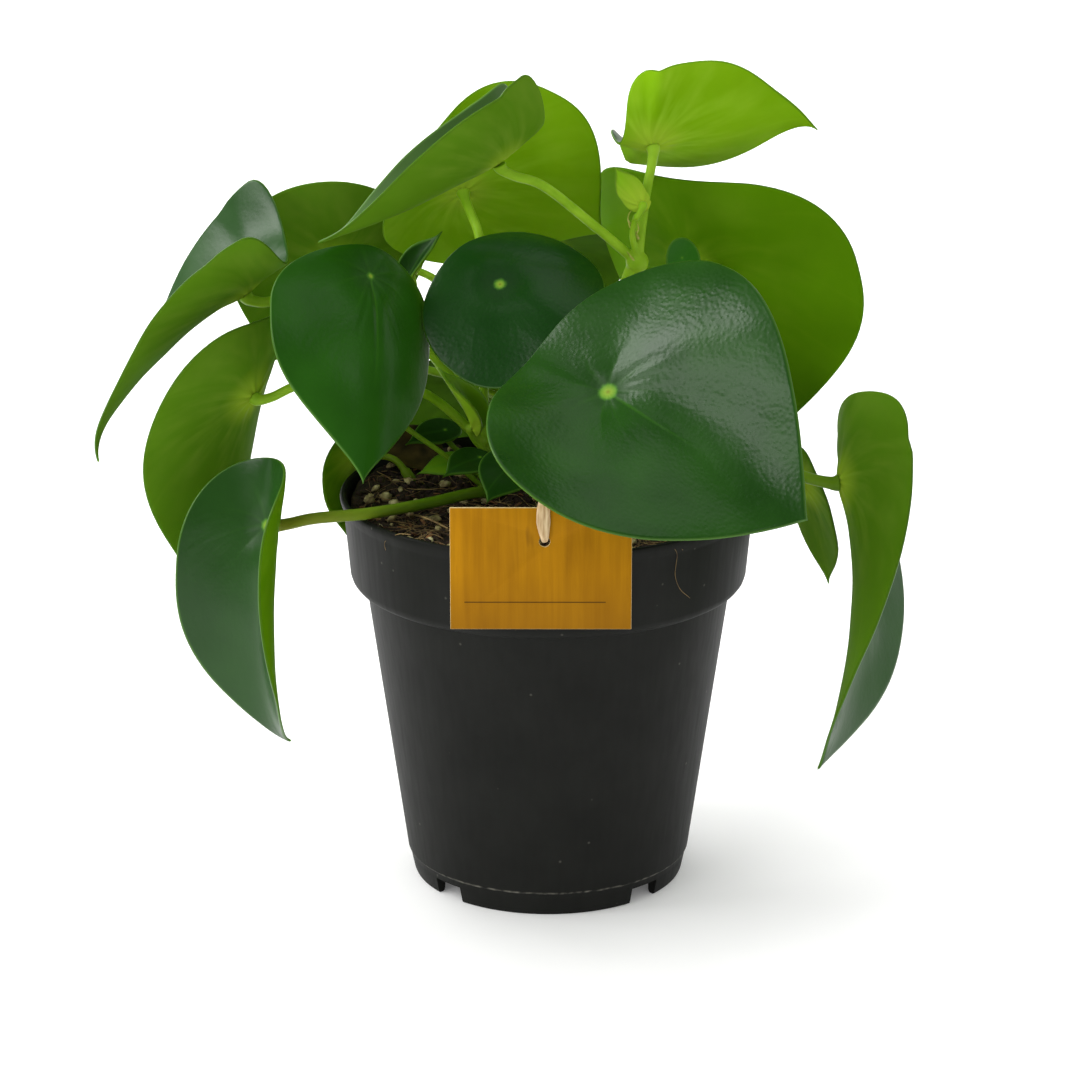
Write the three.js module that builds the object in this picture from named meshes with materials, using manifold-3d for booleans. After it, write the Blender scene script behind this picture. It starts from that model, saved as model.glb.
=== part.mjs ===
// A young peperomia in a 12 cm nursery pot, with a hanging care label.
// Millimetres, +Z up. The plant and the pot are laid out from the pot's axis, and the whole object
// is then placed so that the origin lies on the floor under the middle of its overall box.

import * as THREE from 'three';
import { mergeVertices } from 'three/addons/utils/BufferGeometryUtils.js';
import Module from 'manifold-3d';

const wasm = await Module();
wasm.setup();

// ---- driving dimensions -------------------------------------------------------------------------

const POT_AXIS = new THREE.Vector3(12, -4.5, 0);

const POT_HEIGHT = 115.7;
const LIP_RADIUS = 60;
const COLLAR_FOOT_RADIUS = 57.2;
const COLLAR_FOOT_HEIGHT = 91.7;
const BODY_TOP_RADIUS = 52.8;
const BODY_TOP_HEIGHT = 89;
const BODY_FOOT_RADIUS = 41.5;
const BODY_FOOT_HEIGHT = 8;
const FOOT_RADIUS = 39.6;
const FOOT_RING = 2.3;
const POT_WALL = 1.3;
const FLOOR_UNDERSIDE = 6;
const NOTCH_WIDTH = 10;
const NOTCH_HEIGHT = 5;
const NOTCH_COUNT = 4;
const NOTCH_FIRST_ANGLE = 44;
const DRAIN_RADIUS = 4;
const DRAIN_CIRCLE = 27;
const DRAIN_COUNT = 6;

const GAP = 0.3;

const SOIL_LEVEL = 108.5;
const SOIL_FRONT_RISE = 4;
const SOIL_BUMP = 0.9;
const STEM_SOCKET_DEPTH = 10;

const BLADE_HALF = 0.6;
const RIM_HALF = 0.35;
const SPOT_DIMPLE = 1.2;
const SPOT_RADIUS = 6;
const STALK_APPROACH = 4;
const STALK_TURN = 0.35;

const CARD_WIDTH = 49.5;
const CARD_BOTTOM = 94.6;
const CARD_TOP = 129.4;
const CARD_THICK = 0.8;
const CARD_CENTRE_X = -2;
const CARD_HOLE_RADIUS = 2.2;
const CARD_HOLE_X = -1;
const CARD_HOLE_HEIGHT = 119.8;
const RIBBON_THICK = 0.5;

// ---- colours ------------------------------------------------------------------------------------

const paint = (color, roughness) => new THREE.MeshStandardMaterial({ color, roughness, metalness: 0 });
const LEAF_GREEN = paint('#2a5a30', 0.35);
const YOUNG_GREEN = paint('#6c9a2a', 0.45);
const STALK_GREEN = paint('#94bb3c', 0.45);
const POT_BLACK = paint('#2b2b29', 0.55);
const PEAT_BROWN = paint('#33241a', 0.95);
const CARD_AMBER = paint('#b57e10', 0.7);
const RIBBON_CREAM = paint('#e6d3ac', 0.6);

// ---- solids -------------------------------------------------------------------------------------

// A closed surface with shared corners, as a solid that can be joined to others or cut by them.
function solid(geometry) {
  const bare = geometry.clone();
  bare.deleteAttribute('normal');
  bare.deleteAttribute('uv');
  const merged = mergeVertices(bare, 1e-4);
  const corners = merged.index.array;
  const triangles = [];
  for (let i = 0; i < corners.length; i += 3) {
    const [a, b, c] = [corners[i], corners[i + 1], corners[i + 2]];
    if (a !== b && b !== c && c !== a) triangles.push(a, b, c);
  }
  return new wasm.Manifold(new wasm.Mesh({
    numProp: 3,
    vertProperties: new Float32Array(merged.attributes.position.array),
    triVerts: new Uint32Array(triangles),
  }));
}

function surface(manifold) {
  const mesh = manifold.getMesh();
  const geometry = new THREE.BufferGeometry();
  geometry.setAttribute('position', new THREE.BufferAttribute(new Float32Array(mesh.vertProperties), 3));
  geometry.setIndex(new THREE.BufferAttribute(new Uint32Array(mesh.triVerts), 1));
  geometry.computeVertexNormals();
  return geometry;
}

const fuse = (geometries) => surface(geometries.map(solid).reduce((whole, piece) => whole.add(piece)));
const cut = (geometry, cutters) => surface(
  cutters.map(solid).reduce((whole, cutter) => whole.subtract(cutter), solid(geometry)));

const vec = ([x, y, z]) => new THREE.Vector3(x, y, z);
const radians = THREE.MathUtils.degToRad;

// A round rod of one thickness along a smooth curve through the points.
function rod(points, radius, sides = 6, steps = 3 * (points.length - 1)) {
  const places = points.map((point) => (point.isVector3 ? point : vec(point)));
  const curve = new THREE.CatmullRomCurve3(places, false, 'centripetal');
  const section = new THREE.Shape();
  for (let i = 0; i < sides; i += 1) {
    const angle = (2 * Math.PI * i) / sides;
    const corner = [radius * Math.cos(angle), radius * Math.sin(angle)];
    if (i === 0) section.moveTo(...corner);
    else section.lineTo(...corner);
  }
  section.closePath();
  return new THREE.ExtrudeGeometry(section, { steps, extrudePath: curve, bevelEnabled: false });
}

function knot(point, radius) {
  return new THREE.IcosahedronGeometry(radius, 1).translate(...point);
}

// ---- the leaf -----------------------------------------------------------------------------------
// Every leaf of this plant is a shield: the stalk meets the blade inside its outline, a third of the
// way from the rounded back end to the pointed tip. `at` is that meeting point and `tip` the blade's
// point; `face` is the way its upper side looks. Seen flat, the outline is `width` wide, reaches
// `back` behind the stalk, is widest at the share `widest` of its length, and runs to the tip as
// fast as `taper` and `point` say; `lean` and `lobe` shift one side and pull the back end out.
// The midrib bends by `arch` degrees towards the tip, by `backArch` behind the stalk and by `hook`
// at the very tip; the two halves curl up by `cupLeft` and `cupRight` and fold at the midrib by
// `fold`; `twist` and `sway` turn the tip end about the midrib and carry it sideways.

const LEAF_SHAPE = {
  arch: 10, backArch: 10, cupLeft: 10, cupRight: 10, fold: 0, foldBack: 0, hook: 0, twist: 0,
  sway: 0, widest: 0.36, taper: 1.25, point: 0.9, lean: 0, lobe: 0, spokes: 20, rings: 4,
};

const BEND_STEPS = 48;
const SECTION_STEPS = 12;
const clamp01 = (x) => Math.min(Math.max(x, 0), 1);

function halfWidth(t, leaf) {
  if (t < leaf.widest) return Math.sqrt(Math.max(1 - ((t - leaf.widest) / leaf.widest) ** 2, 0));
  const s = (t - leaf.widest) / (1 - leaf.widest);
  return ((1 + Math.cos(Math.PI * s ** leaf.taper)) / 2) ** leaf.point;
}

function leafFrame(description) {
  const leaf = { ...LEAF_SHAPE, ...description };
  const bend = (s) => {
    if (s < 0) return radians(leaf.backArch) * s;
    return radians(leaf.arch) * s + radians(leaf.hook) * clamp01((s - 0.7) / 0.3) ** 2;
  };
  const run = (s) => {
    let x = 0;
    let z = 0;
    for (let i = 0; i < BEND_STEPS; i += 1) {
      const angle = bend((s * (i + 0.5)) / BEND_STEPS);
      x += (Math.cos(angle) * s) / BEND_STEPS;
      z -= (Math.sin(angle) * s) / BEND_STEPS;
    }
    return [x, z];
  };
  const at = vec(leaf.at);
  const reach = vec(leaf.tip).sub(at);
  const [endX, endZ] = run(1);
  const length = reach.length() / Math.hypot(endX, endZ);
  const drop = Math.atan2(-endZ, endX);
  const ahead = reach.clone().normalize();
  const up = vec(leaf.face).projectOnPlane(ahead).normalize();
  const side = up.clone().cross(ahead);
  const along = ahead.clone().multiplyScalar(Math.cos(drop)).addScaledVector(up, Math.sin(drop));
  const normal = up.clone().multiplyScalar(Math.cos(drop)).addScaledVector(ahead, -Math.sin(drop));
  return { leaf, at, length, bend, run, along, normal, side };
}

// The middle surface of the blade at `u` along the midrib and `v` across it.
function leafPoint(frame, u, v) {
  const { leaf, length, along, normal, side } = frame;
  const half = leaf.width / 2;
  const s = u / length;
  const cup = radians(v > 0 ? leaf.cupLeft : leaf.cupRight);
  const fold = radians(leaf.fold) + radians(leaf.foldBack) * clamp01((-s * length) / leaf.back) ** 0.7;
  let across = 0;
  let rise = 0;
  for (let i = 0; i < SECTION_STEPS; i += 1) {
    const w = (v * (i + 0.5)) / SECTION_STEPS;
    const slope = (cup * w) / half + fold * Math.tanh(w / (0.22 * half));
    across += (Math.cos(slope) * v) / SECTION_STEPS;
    rise += (Math.sin(slope) * v) / SECTION_STEPS;
  }
  rise -= SPOT_DIMPLE * Math.exp(-((Math.hypot(u, v) / SPOT_RADIUS) ** 2));
  const twist = radians(leaf.twist) * s;
  const turnedAcross = across * Math.cos(twist) - rise * Math.sin(twist);
  const turnedRise = across * Math.sin(twist) + rise * Math.cos(twist);
  const [x, z] = frame.run(s);
  const angle = frame.bend(s);
  return frame.at.clone()
    .addScaledVector(along, x * length + turnedRise * Math.sin(angle))
    .addScaledVector(normal, z * length + turnedRise * Math.cos(angle))
    .addScaledVector(side, turnedAcross + leaf.sway * s * s);
}

// The blade: its middle surface, thickened to both sides, with both sides split alike.
function bladeGeometry(frame) {
  const { leaf, length } = frame;
  const { spokes, rings } = leaf;
  const half = leaf.width / 2;
  const middle = [leafPoint(frame, 0, 0)];
  for (let ring = 1; ring <= rings; ring += 1) {
    for (let i = 0; i < spokes; i += 1) {
      const angle = (2 * Math.PI * i) / spokes;
      const t = (1 - Math.cos(angle)) / 2;
      const w = half * halfWidth(t, leaf);
      const u = -leaf.back + t * (length + leaf.back) - leaf.lobe * (w * w / half) * (1 - t) ** 3;
      const v = (Math.sin(angle) >= 0 ? w : -w) + leaf.lean * w;
      middle.push(leafPoint(frame, (u * ring) / rings, (v * ring) / rings));
    }
  }
  const faces = [];
  const corner = (ring, i) => (ring === 0 ? 0 : 1 + (ring - 1) * spokes + (i % spokes));
  for (let i = 0; i < spokes; i += 1) {
    faces.push([0, corner(1, i + 1), corner(1, i)]);
    for (let ring = 1; ring < rings; ring += 1) {
      faces.push([corner(ring, i), corner(ring + 1, i + 1), corner(ring + 1, i)]);
      faces.push([corner(ring, i), corner(ring, i + 1), corner(ring + 1, i + 1)]);
    }
  }
  const sheet = new THREE.BufferGeometry().setFromPoints(middle);
  sheet.setIndex(faces.flat());
  sheet.computeVertexNormals();
  const normals = sheet.attributes.normal;
  const count = middle.length;
  const points = [];
  for (const way of [1, -1]) {
    middle.forEach((point, i) => {
      const thickness = i >= count - spokes ? RIM_HALF : BLADE_HALF;
      const offset = new THREE.Vector3().fromBufferAttribute(normals, i).multiplyScalar(way * thickness);
      points.push(point.clone().add(offset));
    });
  }
  const all = faces.flat();
  faces.forEach(([a, b, c]) => all.push(count + a, count + c, count + b));
  for (let i = 0; i < spokes; i += 1) {
    const [a, b] = [corner(rings, i), corner(rings, i + 1)];
    all.push(a, b, count + b, a, count + b, count + a);
  }
  const blade = new THREE.BufferGeometry().setFromPoints(points);
  blade.setIndex(all);
  blade.computeVertexNormals();
  return blade;
}

// The last stretch of a stalk: it runs on its own way from the point before, turned a little towards
// the blade, and ends just under it, so far down that the slanting end stays clear.
function underside(frame, before, radius) {
  const { at, normal } = frame;
  const end = at.clone().addScaledVector(normal, -(SPOT_DIMPLE + BLADE_HALF + GAP));
  const way = end.clone().sub(vec(before)).normalize().addScaledVector(normal, STALK_TURN).normalize();
  const slant = Math.sqrt(1 - clamp01(way.dot(normal)) ** 2);
  end.addScaledVector(normal, -radius * slant);
  return [end.clone().addScaledVector(way, -STALK_APPROACH), end];
}

// ---- the leaves, largest first ------------------------------------------------------------------

const LEAVES = {
  leaf_front: {
    at: [16, -51, 159.5], tip: [69.5, -84.5, 135], face: [0.1, -0.85, 0.5], width: 94, back: 25,
    arch: 12, backArch: -5, cupLeft: -32, cupRight: 22, fold: 24, twist: 20, sway: -2,
    widest: 0.32, taper: 1.25, point: 0.55, lean: -0.02, lobe: -0.05,
  },
  leaf_right: {
    at: [41.5, 22, 175.5], tip: [67.5, 47, 117.5], face: [0.6, 0.7, 0.35], width: 102, back: 29,
    arch: -22, backArch: -15, cupLeft: 14, cupRight: 20, fold: 14, hook: -15, twist: -2, sway: -3,
    widest: 0.36, taper: 1.3, point: 0.75, lean: 0.02, lobe: 0.3,
  },
  leaf_hanging_right: {
    at: [84.5, -8, 120.5], tip: [75, -44, 47], face: [1, 0.1, -0.05], width: 70, back: 27,
    arch: 28, backArch: -115, cupLeft: 18, cupRight: 20, fold: 20, foldBack: -15, hook: 15,
    twist: 32, sway: -1, widest: 0.2, taper: 1.7, point: 0.65, lean: 0.08, lobe: 0.3,
  },
  leaf_top_round: {
    at: [-25, 30, 197.5], tip: [13.5, 48, 175], face: [0.1, 0.95, 0.35], width: 70, back: 21,
    arch: 10, backArch: 40, cupLeft: 4, cupRight: 32, fold: 2, twist: 14, sway: -7,
    widest: 0.4, taper: 1.45, point: 0.8, lean: -0.08, lobe: 0.05,
  },
  leaf_upper_left: {
    at: [-86.5, -5, 176], tip: [-128, -4, 125], face: [-0.75, 0, 0.7], width: 66, back: 16,
    arch: 24, backArch: 15, cupLeft: 48, cupRight: 38, fold: 12, foldBack: 5, hook: 45, twist: 14,
    widest: 0.12, taper: 1, point: 0.75, lean: -0.08, lobe: 0.3,
  },
  leaf_left: {
    at: [-84.5, -10, 147], tip: [-96.5, -8, 84.5], face: [-0.85, 0.5, 0.1], width: 67, back: 24.5,
    arch: 26, backArch: -40, cupLeft: 14, cupRight: 40, fold: 10, hook: 15, twist: 16, sway: 5,
    widest: 0.3, taper: 1.45, point: 0.85, lean: -0.06, lobe: 0.3,
  },
  leaf_lower_left: {
    at: [-79, -35, 116], tip: [-71.5, -33.5, 51.5], face: [-0.7, -0.75, 0.1], width: 50, back: 19,
    arch: 34, backArch: 5, cupLeft: 64, cupRight: 46, fold: 20, hook: 45, sway: -2,
    widest: 0.34, taper: 1.35, point: 0.7,
  },
  leaf_back_of_left: {
    at: [-63, 38.5, 172.5], tip: [-82.5, 45.5, 140.5], face: [-0.3, 0.9, 0.35], width: 60, back: 27,
    arch: -2, backArch: -10, cupLeft: 20, cupRight: 14, hook: -5, twist: -4, sway: 0.5,
    widest: 0.42, taper: 1.45, point: 0.75, lean: 0.02,
  },
  leaf_front_left: {
    at: [-48.5, -28, 186], tip: [-50.5, -56.5, 134.5], face: [0.5, -0.9, 0.05], width: 55, back: 9,
    arch: 22, backArch: 45, cupLeft: -20, cupRight: -2, fold: -18, hook: -15, twist: 8,
    widest: 0.28, taper: 1.4, point: 0.75, lean: -0.04, lobe: 0.05,
  },
  leaf_front_round: {
    at: [-13.5, -17, 181], tip: [14.5, -33, 160], face: [-0.1, -0.7, 0.75], width: 56, back: 17,
    arch: 12, backArch: 20, cupLeft: -30, cupRight: -10, fold: -10, twist: 10, sway: -1.5,
    widest: 0.4, taper: 1.5, point: 0.85, lean: 0.02, lobe: 0.15,
  },
  leaf_top_left: {
    at: [-14.5, -5, 213.5], tip: [-60, -36.5, 196], face: [-0.2, 0, 1], width: 45, back: 16,
    arch: -12, backArch: -25, cupLeft: 28, cupRight: 78, fold: 42, foldBack: 10, twist: 18, sway: -5,
    widest: 0.12, taper: 1.35, point: 0.6, lean: 0.16, lobe: 0.35,
  },
  leaf_top_right: {
    at: [29, 5, 216.5], tip: [75.5, 18.5, 215.5], face: [0, 0.65, 0.8], width: 49, back: 9,
    arch: -14, backArch: -25, cupLeft: 6, cupRight: 50, fold: 10, foldBack: 40, hook: 75, twist: -16,
    sway: -2.5, widest: 0.32, taper: 1.35, point: 0.8, lean: -0.02, lobe: 0.4,
  },
  leaf_small_right: {
    at: [75, 10, 115.5], tip: [84.5, 20, 79], face: [0.8, 0.55, 0.15], width: 26, back: 12,
    arch: 2, backArch: -5, cupLeft: 32, cupRight: -10, fold: -8, hook: -5, twist: -2, sway: 2.5,
    widest: 0.42, taper: 1.35, point: 0.85, lean: -0.02, spokes: 16, rings: 3,
  },
  leaf_small_left: {
    at: [-57.5, 25, 120], tip: [-57.5, 27, 88], face: [-0.8, 0.5, 0.2], width: 27, back: 9,
    spokes: 16, rings: 3,
  },
  leaf_narrow: {
    at: [-40.5, 8, 177], tip: [-30, 10, 189.5], face: [-0.5, -0.6, 0.6], width: 10, back: 4,
    cupLeft: 40, cupRight: 40, fold: 20, spokes: 12, rings: 2,
  },
  leaf_young_top: {
    at: [26, -7, 201], tip: [18, -8.5, 212.5], face: [-0.6, 0.4, 0.7], width: 12, back: 2.5,
    arch: 15, cupLeft: 50, cupRight: 50, fold: 30, spokes: 12, rings: 2,
  },
  leaf_young_right: {
    at: [38, 4.5, 183], tip: [40, 6, 169], face: [0.2, -0.9, 0.3], width: 10.5, back: 6,
    cupLeft: 20, cupRight: 20, spokes: 12, rings: 2,
  },
  leaf_young_centre: {
    at: [-20, 1, 134], tip: [-31.5, -3, 153], face: [0.6, -0.5, 0.5], width: 13, back: 2,
    arch: 15, cupLeft: 50, cupRight: 50, fold: 40, spokes: 12, rings: 2,
  },
  leaf_low_round: {
    at: [-19.5, -5, 127.5], tip: [-30, -16, 124], face: [-0.2, -0.6, 0.8], width: 12, back: 4,
    spokes: 12, rings: 2,
  },
  leaf_low_dark: {
    at: [-30, 16, 129.5], tip: [-41.5, 8, 126.5], face: [-0.2, -0.6, 0.8], width: 11, back: 5,
    spokes: 12, rings: 2,
  },
  leaf_low_pale: {
    at: [-26, 7, 122.5], tip: [-38, 2, 119.5], face: [-0.2, -0.6, 0.8], width: 9, back: 4,
    spokes: 12, rings: 2,
  },
  leaf_low_hidden: {
    at: [-43, -1, 137], tip: [-52, -6, 127], face: [-0.6, -0.3, 0.7], width: 14, back: 5,
    spokes: 12, rings: 2,
  },
  leaf_low_front: {
    at: [-10.5, -15, 128], tip: [-17.5, -29, 120], face: [-0.2, -0.9, 0.3], width: 16, back: 6,
    spokes: 12, rings: 2,
  },
  leaf_rear_left: {
    at: [-56, 60, 150], tip: [-62, 82, 108], face: [-0.35, 0.75, 0.5], width: 40, back: 15,
    arch: 25, backArch: 25, cupLeft: 20, cupRight: 20, spokes: 16,
  },
  leaf_rear_centre: {
    at: [-3, 78, 170], tip: [-9, 104, 134], face: [0.1, 0.85, 0.6], width: 56, back: 18,
    arch: 30, backArch: 30, cupLeft: 15, cupRight: 15, spokes: 16,
  },
  leaf_rear_right: {
    at: [52, 56, 156], tip: [70, 86, 118], face: [0.5, 0.7, 0.5], width: 50, back: 17,
    arch: 25, backArch: 25, cupLeft: 20, cupRight: 20, spokes: 16,
  },
  leaf_rear_low: {
    at: [-19, 52, 134], tip: [-34, 84, 86], face: [-0.2, 0.85, 0.45], width: 56, back: 16,
    arch: 25, backArch: 25, cupLeft: 15, cupRight: 15, spokes: 16,
  },
};

const YOUNG = new Set(['leaf_young_top', 'leaf_young_centre', 'leaf_low_pale']);

const frames = Object.fromEntries(
  Object.entries(LEAVES).map(([name, description]) => [name, leafFrame(description)]));

// ---- stems with their leaf stalks ---------------------------------------------------------------
// Each stem grew as one piece with its stalks. `base` is where it goes into the soil.

const stalk = (name, points, radius) => rod(
  [...points, ...underside(frames[name], points[points.length - 1], radius)], radius);

const STEMS = {
  stem_centre: {
    base: [3, 8, 98.8],
    radius: 2.7,
    trunk: [[3, 8, 112], [7, 8, 128], [11.5, 8, 140.5], [18, 4, 162], [25, -2, 183.5]],
    knots: [[[25, -2, 183.5], 3.3], [[11.5, 8, 140.5], 3.2]],
    stalks: [
      ['leaf_top_left', [[25, -2, 183.5], [12, -4, 195], [-2.5, -5, 206.5]], 1.4],
      ['leaf_top_right', [[25, -2, 183.5], [26, -2, 192.5], [27.5, 0, 203.5]], 1.4],
      ['leaf_young_top', [[25, -3, 185], [23.5, -5.5, 192], [24.5, -8, 198]], 0.9],
      ['leaf_young_right', [[20, 2, 168], [28, 8, 170], [35, 12, 176]], 0.9],
      ['leaf_right', [[18, 4, 162], [27, 7, 170], [34, 12, 173]], 1.5],
      ['leaf_front', [[9, 8, 134], [14, -8, 146], [16, -27, 153]], 1.6],
      ['leaf_front_round', [[6, 8, 124], [2, -2, 146], [-7, -10, 166]], 1.4],
    ],
  },
  stem_left: {
    base: [-16, 5, 98.8],
    radius: 2.8,
    trunk: [[-16, 5, 112], [-17, 5, 120], [-18, 6, 129]],
    knots: [[[-18, 6, 129], 3.3]],
    stalks: [
      ['leaf_upper_left', [[-18, 6, 129], [-34, 4, 155.5], [-60, -4, 168.5], [-75, -5, 172.8]], 1.5],
      ['leaf_left', [[-18, 5, 128], [-36.5, 0, 145], [-59, -8, 150.5], [-71, -12, 150]], 1.4],
      ['leaf_front_left', [[-18, 7, 130], [-36, 8, 158], [-47, 2, 174]], 1.5],
      ['leaf_top_round', [[-18, 7, 129], [-19, 10, 155], [-19, 13, 180], [-20, 17, 187]], 1.4],
      ['leaf_back_of_left', [[-18, 7, 129], [-23, 18, 155], [-32, 25, 171], [-45, 24, 176]], 1.2],
      ['leaf_narrow', [[-18, 7, 129], [-30, 12, 150], [-38, 14, 165]], 0.9],
      ['leaf_young_centre', [[-17, 4, 122], [-18, 3, 126]], 0.9],
      ['leaf_lower_left', [[-16, 4, 113], [-20, -2, 115.5], [-34, -14, 116], [-51, -31, 118.2],
        [-66, -34.5, 117.8]], 1.7],
      ['leaf_low_round', [[-16, 4, 113], [-17, -1, 118]], 0.7],
      ['leaf_low_dark', [[-16, 5, 113], [-22, 15, 119]], 0.8],
      ['leaf_low_pale', [[-16, 5, 113], [-20, 9, 117]], 0.7],
      ['leaf_low_hidden', [[-16, 3, 113], [-22, 1, 119], [-31, 0, 127]], 0.8],
      ['leaf_low_front', [[-15, 4, 113], [-10, -3, 119]], 0.8],
    ],
  },
  stem_right: {
    base: [31, 8, 98.8],
    radius: 2.4,
    trunk: [[31, 8, 113], [33, 7, 117]],
    knots: [],
    stalks: [
      ['leaf_hanging_right', [[31.5, 8, 114], [36, 5, 121], [55, 0, 124], [70, -5, 122]], 1.7],
      ['leaf_small_right', [[31.5, 8, 114], [40, 9, 119], [52, 8, 120], [61, 7, 119]], 1],
    ],
  },
  stem_rim: {
    base: [-40, 17, 98.8],
    radius: 1.6,
    trunk: [[-40, 17, 113], [-42, 18, 116]],
    knots: [],
    stalks: [['leaf_small_left', [[-40.5, 17, 114], [-45, 19, 119]], 1]],
  },
  stem_rear: {
    base: [4, 28, 98.8],
    radius: 2.8,
    trunk: [[4, 28, 112], [3, 30, 122], [2, 33, 131]],
    knots: [[[2, 33, 131], 3.2]],
    stalks: [
      ['leaf_rear_left', [[2, 33, 131], [-18, 33, 138], [-36, 35, 142], [-48, 45, 144]], 1.3],
      ['leaf_rear_centre', [[2, 33, 131], [2, 46, 148], [1, 62, 161]], 1.5],
      ['leaf_rear_right', [[3, 31, 127], [18, 44, 128], [37, 60, 130], [48, 62, 140]], 1.4],
      ['leaf_rear_low', [[2, 32, 125], [-8, 37, 130]], 1.3],
    ],
  },
};

function stemGeometry(stem) {
  const [x, y, z] = stem.base;
  const pieces = [rod([stem.base, [x, y, z + STEM_SOCKET_DEPTH], ...stem.trunk], stem.radius, 8)];
  for (const [point, radius] of stem.knots) pieces.push(knot(point, radius));
  for (const [name, points, radius] of stem.stalks) pieces.push(stalk(name, points, radius));
  return fuse(pieces);
}

// ---- the pot ------------------------------------------------------------------------------------
// One moulding. Its profile runs under the floor to the foot ring, up the outside over the shoulder
// and the collar to the lip, and back down the inside to the middle of the floor.

const profile = (pairs) => pairs.map(([r, z]) => new THREE.Vector2(r, z));

const POT_PROFILE = profile([
  [0, FLOOR_UNDERSIDE],
  [FOOT_RADIUS - FOOT_RING - 0.2, FLOOR_UNDERSIDE],
  [FOOT_RADIUS - FOOT_RING, 0],
  [FOOT_RADIUS, 0],
  [FOOT_RADIUS + 1.3, 4],
  [BODY_FOOT_RADIUS, BODY_FOOT_HEIGHT],
  [BODY_TOP_RADIUS, BODY_TOP_HEIGHT],
  [BODY_TOP_RADIUS + 2.6, BODY_TOP_HEIGHT + 0.5],
  [COLLAR_FOOT_RADIUS, COLLAR_FOOT_HEIGHT],
  [LIP_RADIUS - 1, POT_HEIGHT - 4],
  [LIP_RADIUS, POT_HEIGHT - 1.2],
  [LIP_RADIUS - 0.4, POT_HEIGHT],
  [LIP_RADIUS - 1.6, POT_HEIGHT],
  [LIP_RADIUS - 2.4, POT_HEIGHT - 3],
  [COLLAR_FOOT_RADIUS - POT_WALL, COLLAR_FOOT_HEIGHT + 1],
  [BODY_TOP_RADIUS - 0.6, BODY_TOP_HEIGHT + 2],
  [BODY_TOP_RADIUS - POT_WALL, BODY_TOP_HEIGHT],
  [BODY_FOOT_RADIUS - POT_WALL, BODY_FOOT_HEIGHT + 1],
  [BODY_FOOT_RADIUS - POT_WALL - 1.5, FLOOR_UNDERSIDE + POT_WALL],
  [0, FLOOR_UNDERSIDE + POT_WALL],
]);

function lathe(points, segments = 40) {
  return new THREE.LatheGeometry(points, segments).rotateX(Math.PI / 2);
}

function notchCutter(index) {
  const angle = radians(NOTCH_FIRST_ANGLE + (360 / NOTCH_COUNT) * index);
  return new THREE.BoxGeometry(NOTCH_WIDTH, 12, 2 * NOTCH_HEIGHT)
    .translate(0, -FOOT_RADIUS, 0)
    .rotateZ(angle);
}

function drainCutter(index) {
  const angle = (2 * Math.PI * index) / DRAIN_COUNT;
  return new THREE.CylinderGeometry(DRAIN_RADIUS, DRAIN_RADIUS, 6, 12)
    .rotateX(Math.PI / 2)
    .translate(DRAIN_CIRCLE * Math.cos(angle), DRAIN_CIRCLE * Math.sin(angle), FLOOR_UNDERSIDE);
}

const count = (n) => [...Array(n).keys()];

function potGeometry() {
  return cut(lathe(POT_PROFILE), [
    ...count(NOTCH_COUNT).map(notchCutter),
    ...count(DRAIN_COUNT).map(drainCutter),
  ]);
}

// ---- the soil -----------------------------------------------------------------------------------
// The root ball fills the pot; its top is uneven and rises a little towards the front.

function soilHeight(x, y) {
  const rise = SOIL_FRONT_RISE * clamp01(-y / LIP_RADIUS) ** 1.5;
  const bumps = Math.sin(x * 0.31 + y * 0.17) * Math.cos(y * 0.27 - x * 0.11);
  return SOIL_LEVEL + rise + SOIL_BUMP * bumps;
}

function soilGeometry() {
  const edge = LIP_RADIUS - 3.2;
  const points = profile([
    [0, FLOOR_UNDERSIDE + POT_WALL + GAP],
    [BODY_FOOT_RADIUS - POT_WALL - 2, FLOOR_UNDERSIDE + POT_WALL + GAP],
    [BODY_FOOT_RADIUS - POT_WALL - 0.4, BODY_FOOT_HEIGHT + 1.6],
    [BODY_TOP_RADIUS - POT_WALL - 0.4, BODY_TOP_HEIGHT],
    [BODY_TOP_RADIUS - 1.1, BODY_TOP_HEIGHT + 2.4],
    [COLLAR_FOOT_RADIUS - POT_WALL - 0.4, COLLAR_FOOT_HEIGHT + 1.6],
    [edge, SOIL_LEVEL],
    [edge * 0.82, SOIL_LEVEL],
    [edge * 0.64, SOIL_LEVEL],
    [edge * 0.46, SOIL_LEVEL],
    [edge * 0.24, SOIL_LEVEL],
    [0, SOIL_LEVEL],
  ]);
  const body = lathe(points);
  const position = body.attributes.position;
  for (let i = 0; i < position.count; i += 1) {
    if (position.getZ(i) > SOIL_LEVEL - 1) {
      position.setZ(i, soilHeight(position.getX(i), position.getY(i)));
    }
  }
  const sockets = Object.values(STEMS).map(({ base: [x, y, z], radius }) => {
    const top = z - GAP + STEM_SOCKET_DEPTH + 10;
    const bore = radius + 1.5 * GAP;
    return new THREE.CylinderGeometry(bore, bore, top - z + GAP, 16)
      .rotateX(Math.PI / 2)
      .translate(x, y, (top + z - GAP) / 2);
  });
  return cut(body, sockets);
}

// ---- the label ----------------------------------------------------------------------------------
// A thin card that leans on the lip, hung by a ribbon loop from the front leaf's stalk.

const CARD_BACK_Y = -LIP_RADIUS - GAP;

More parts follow.
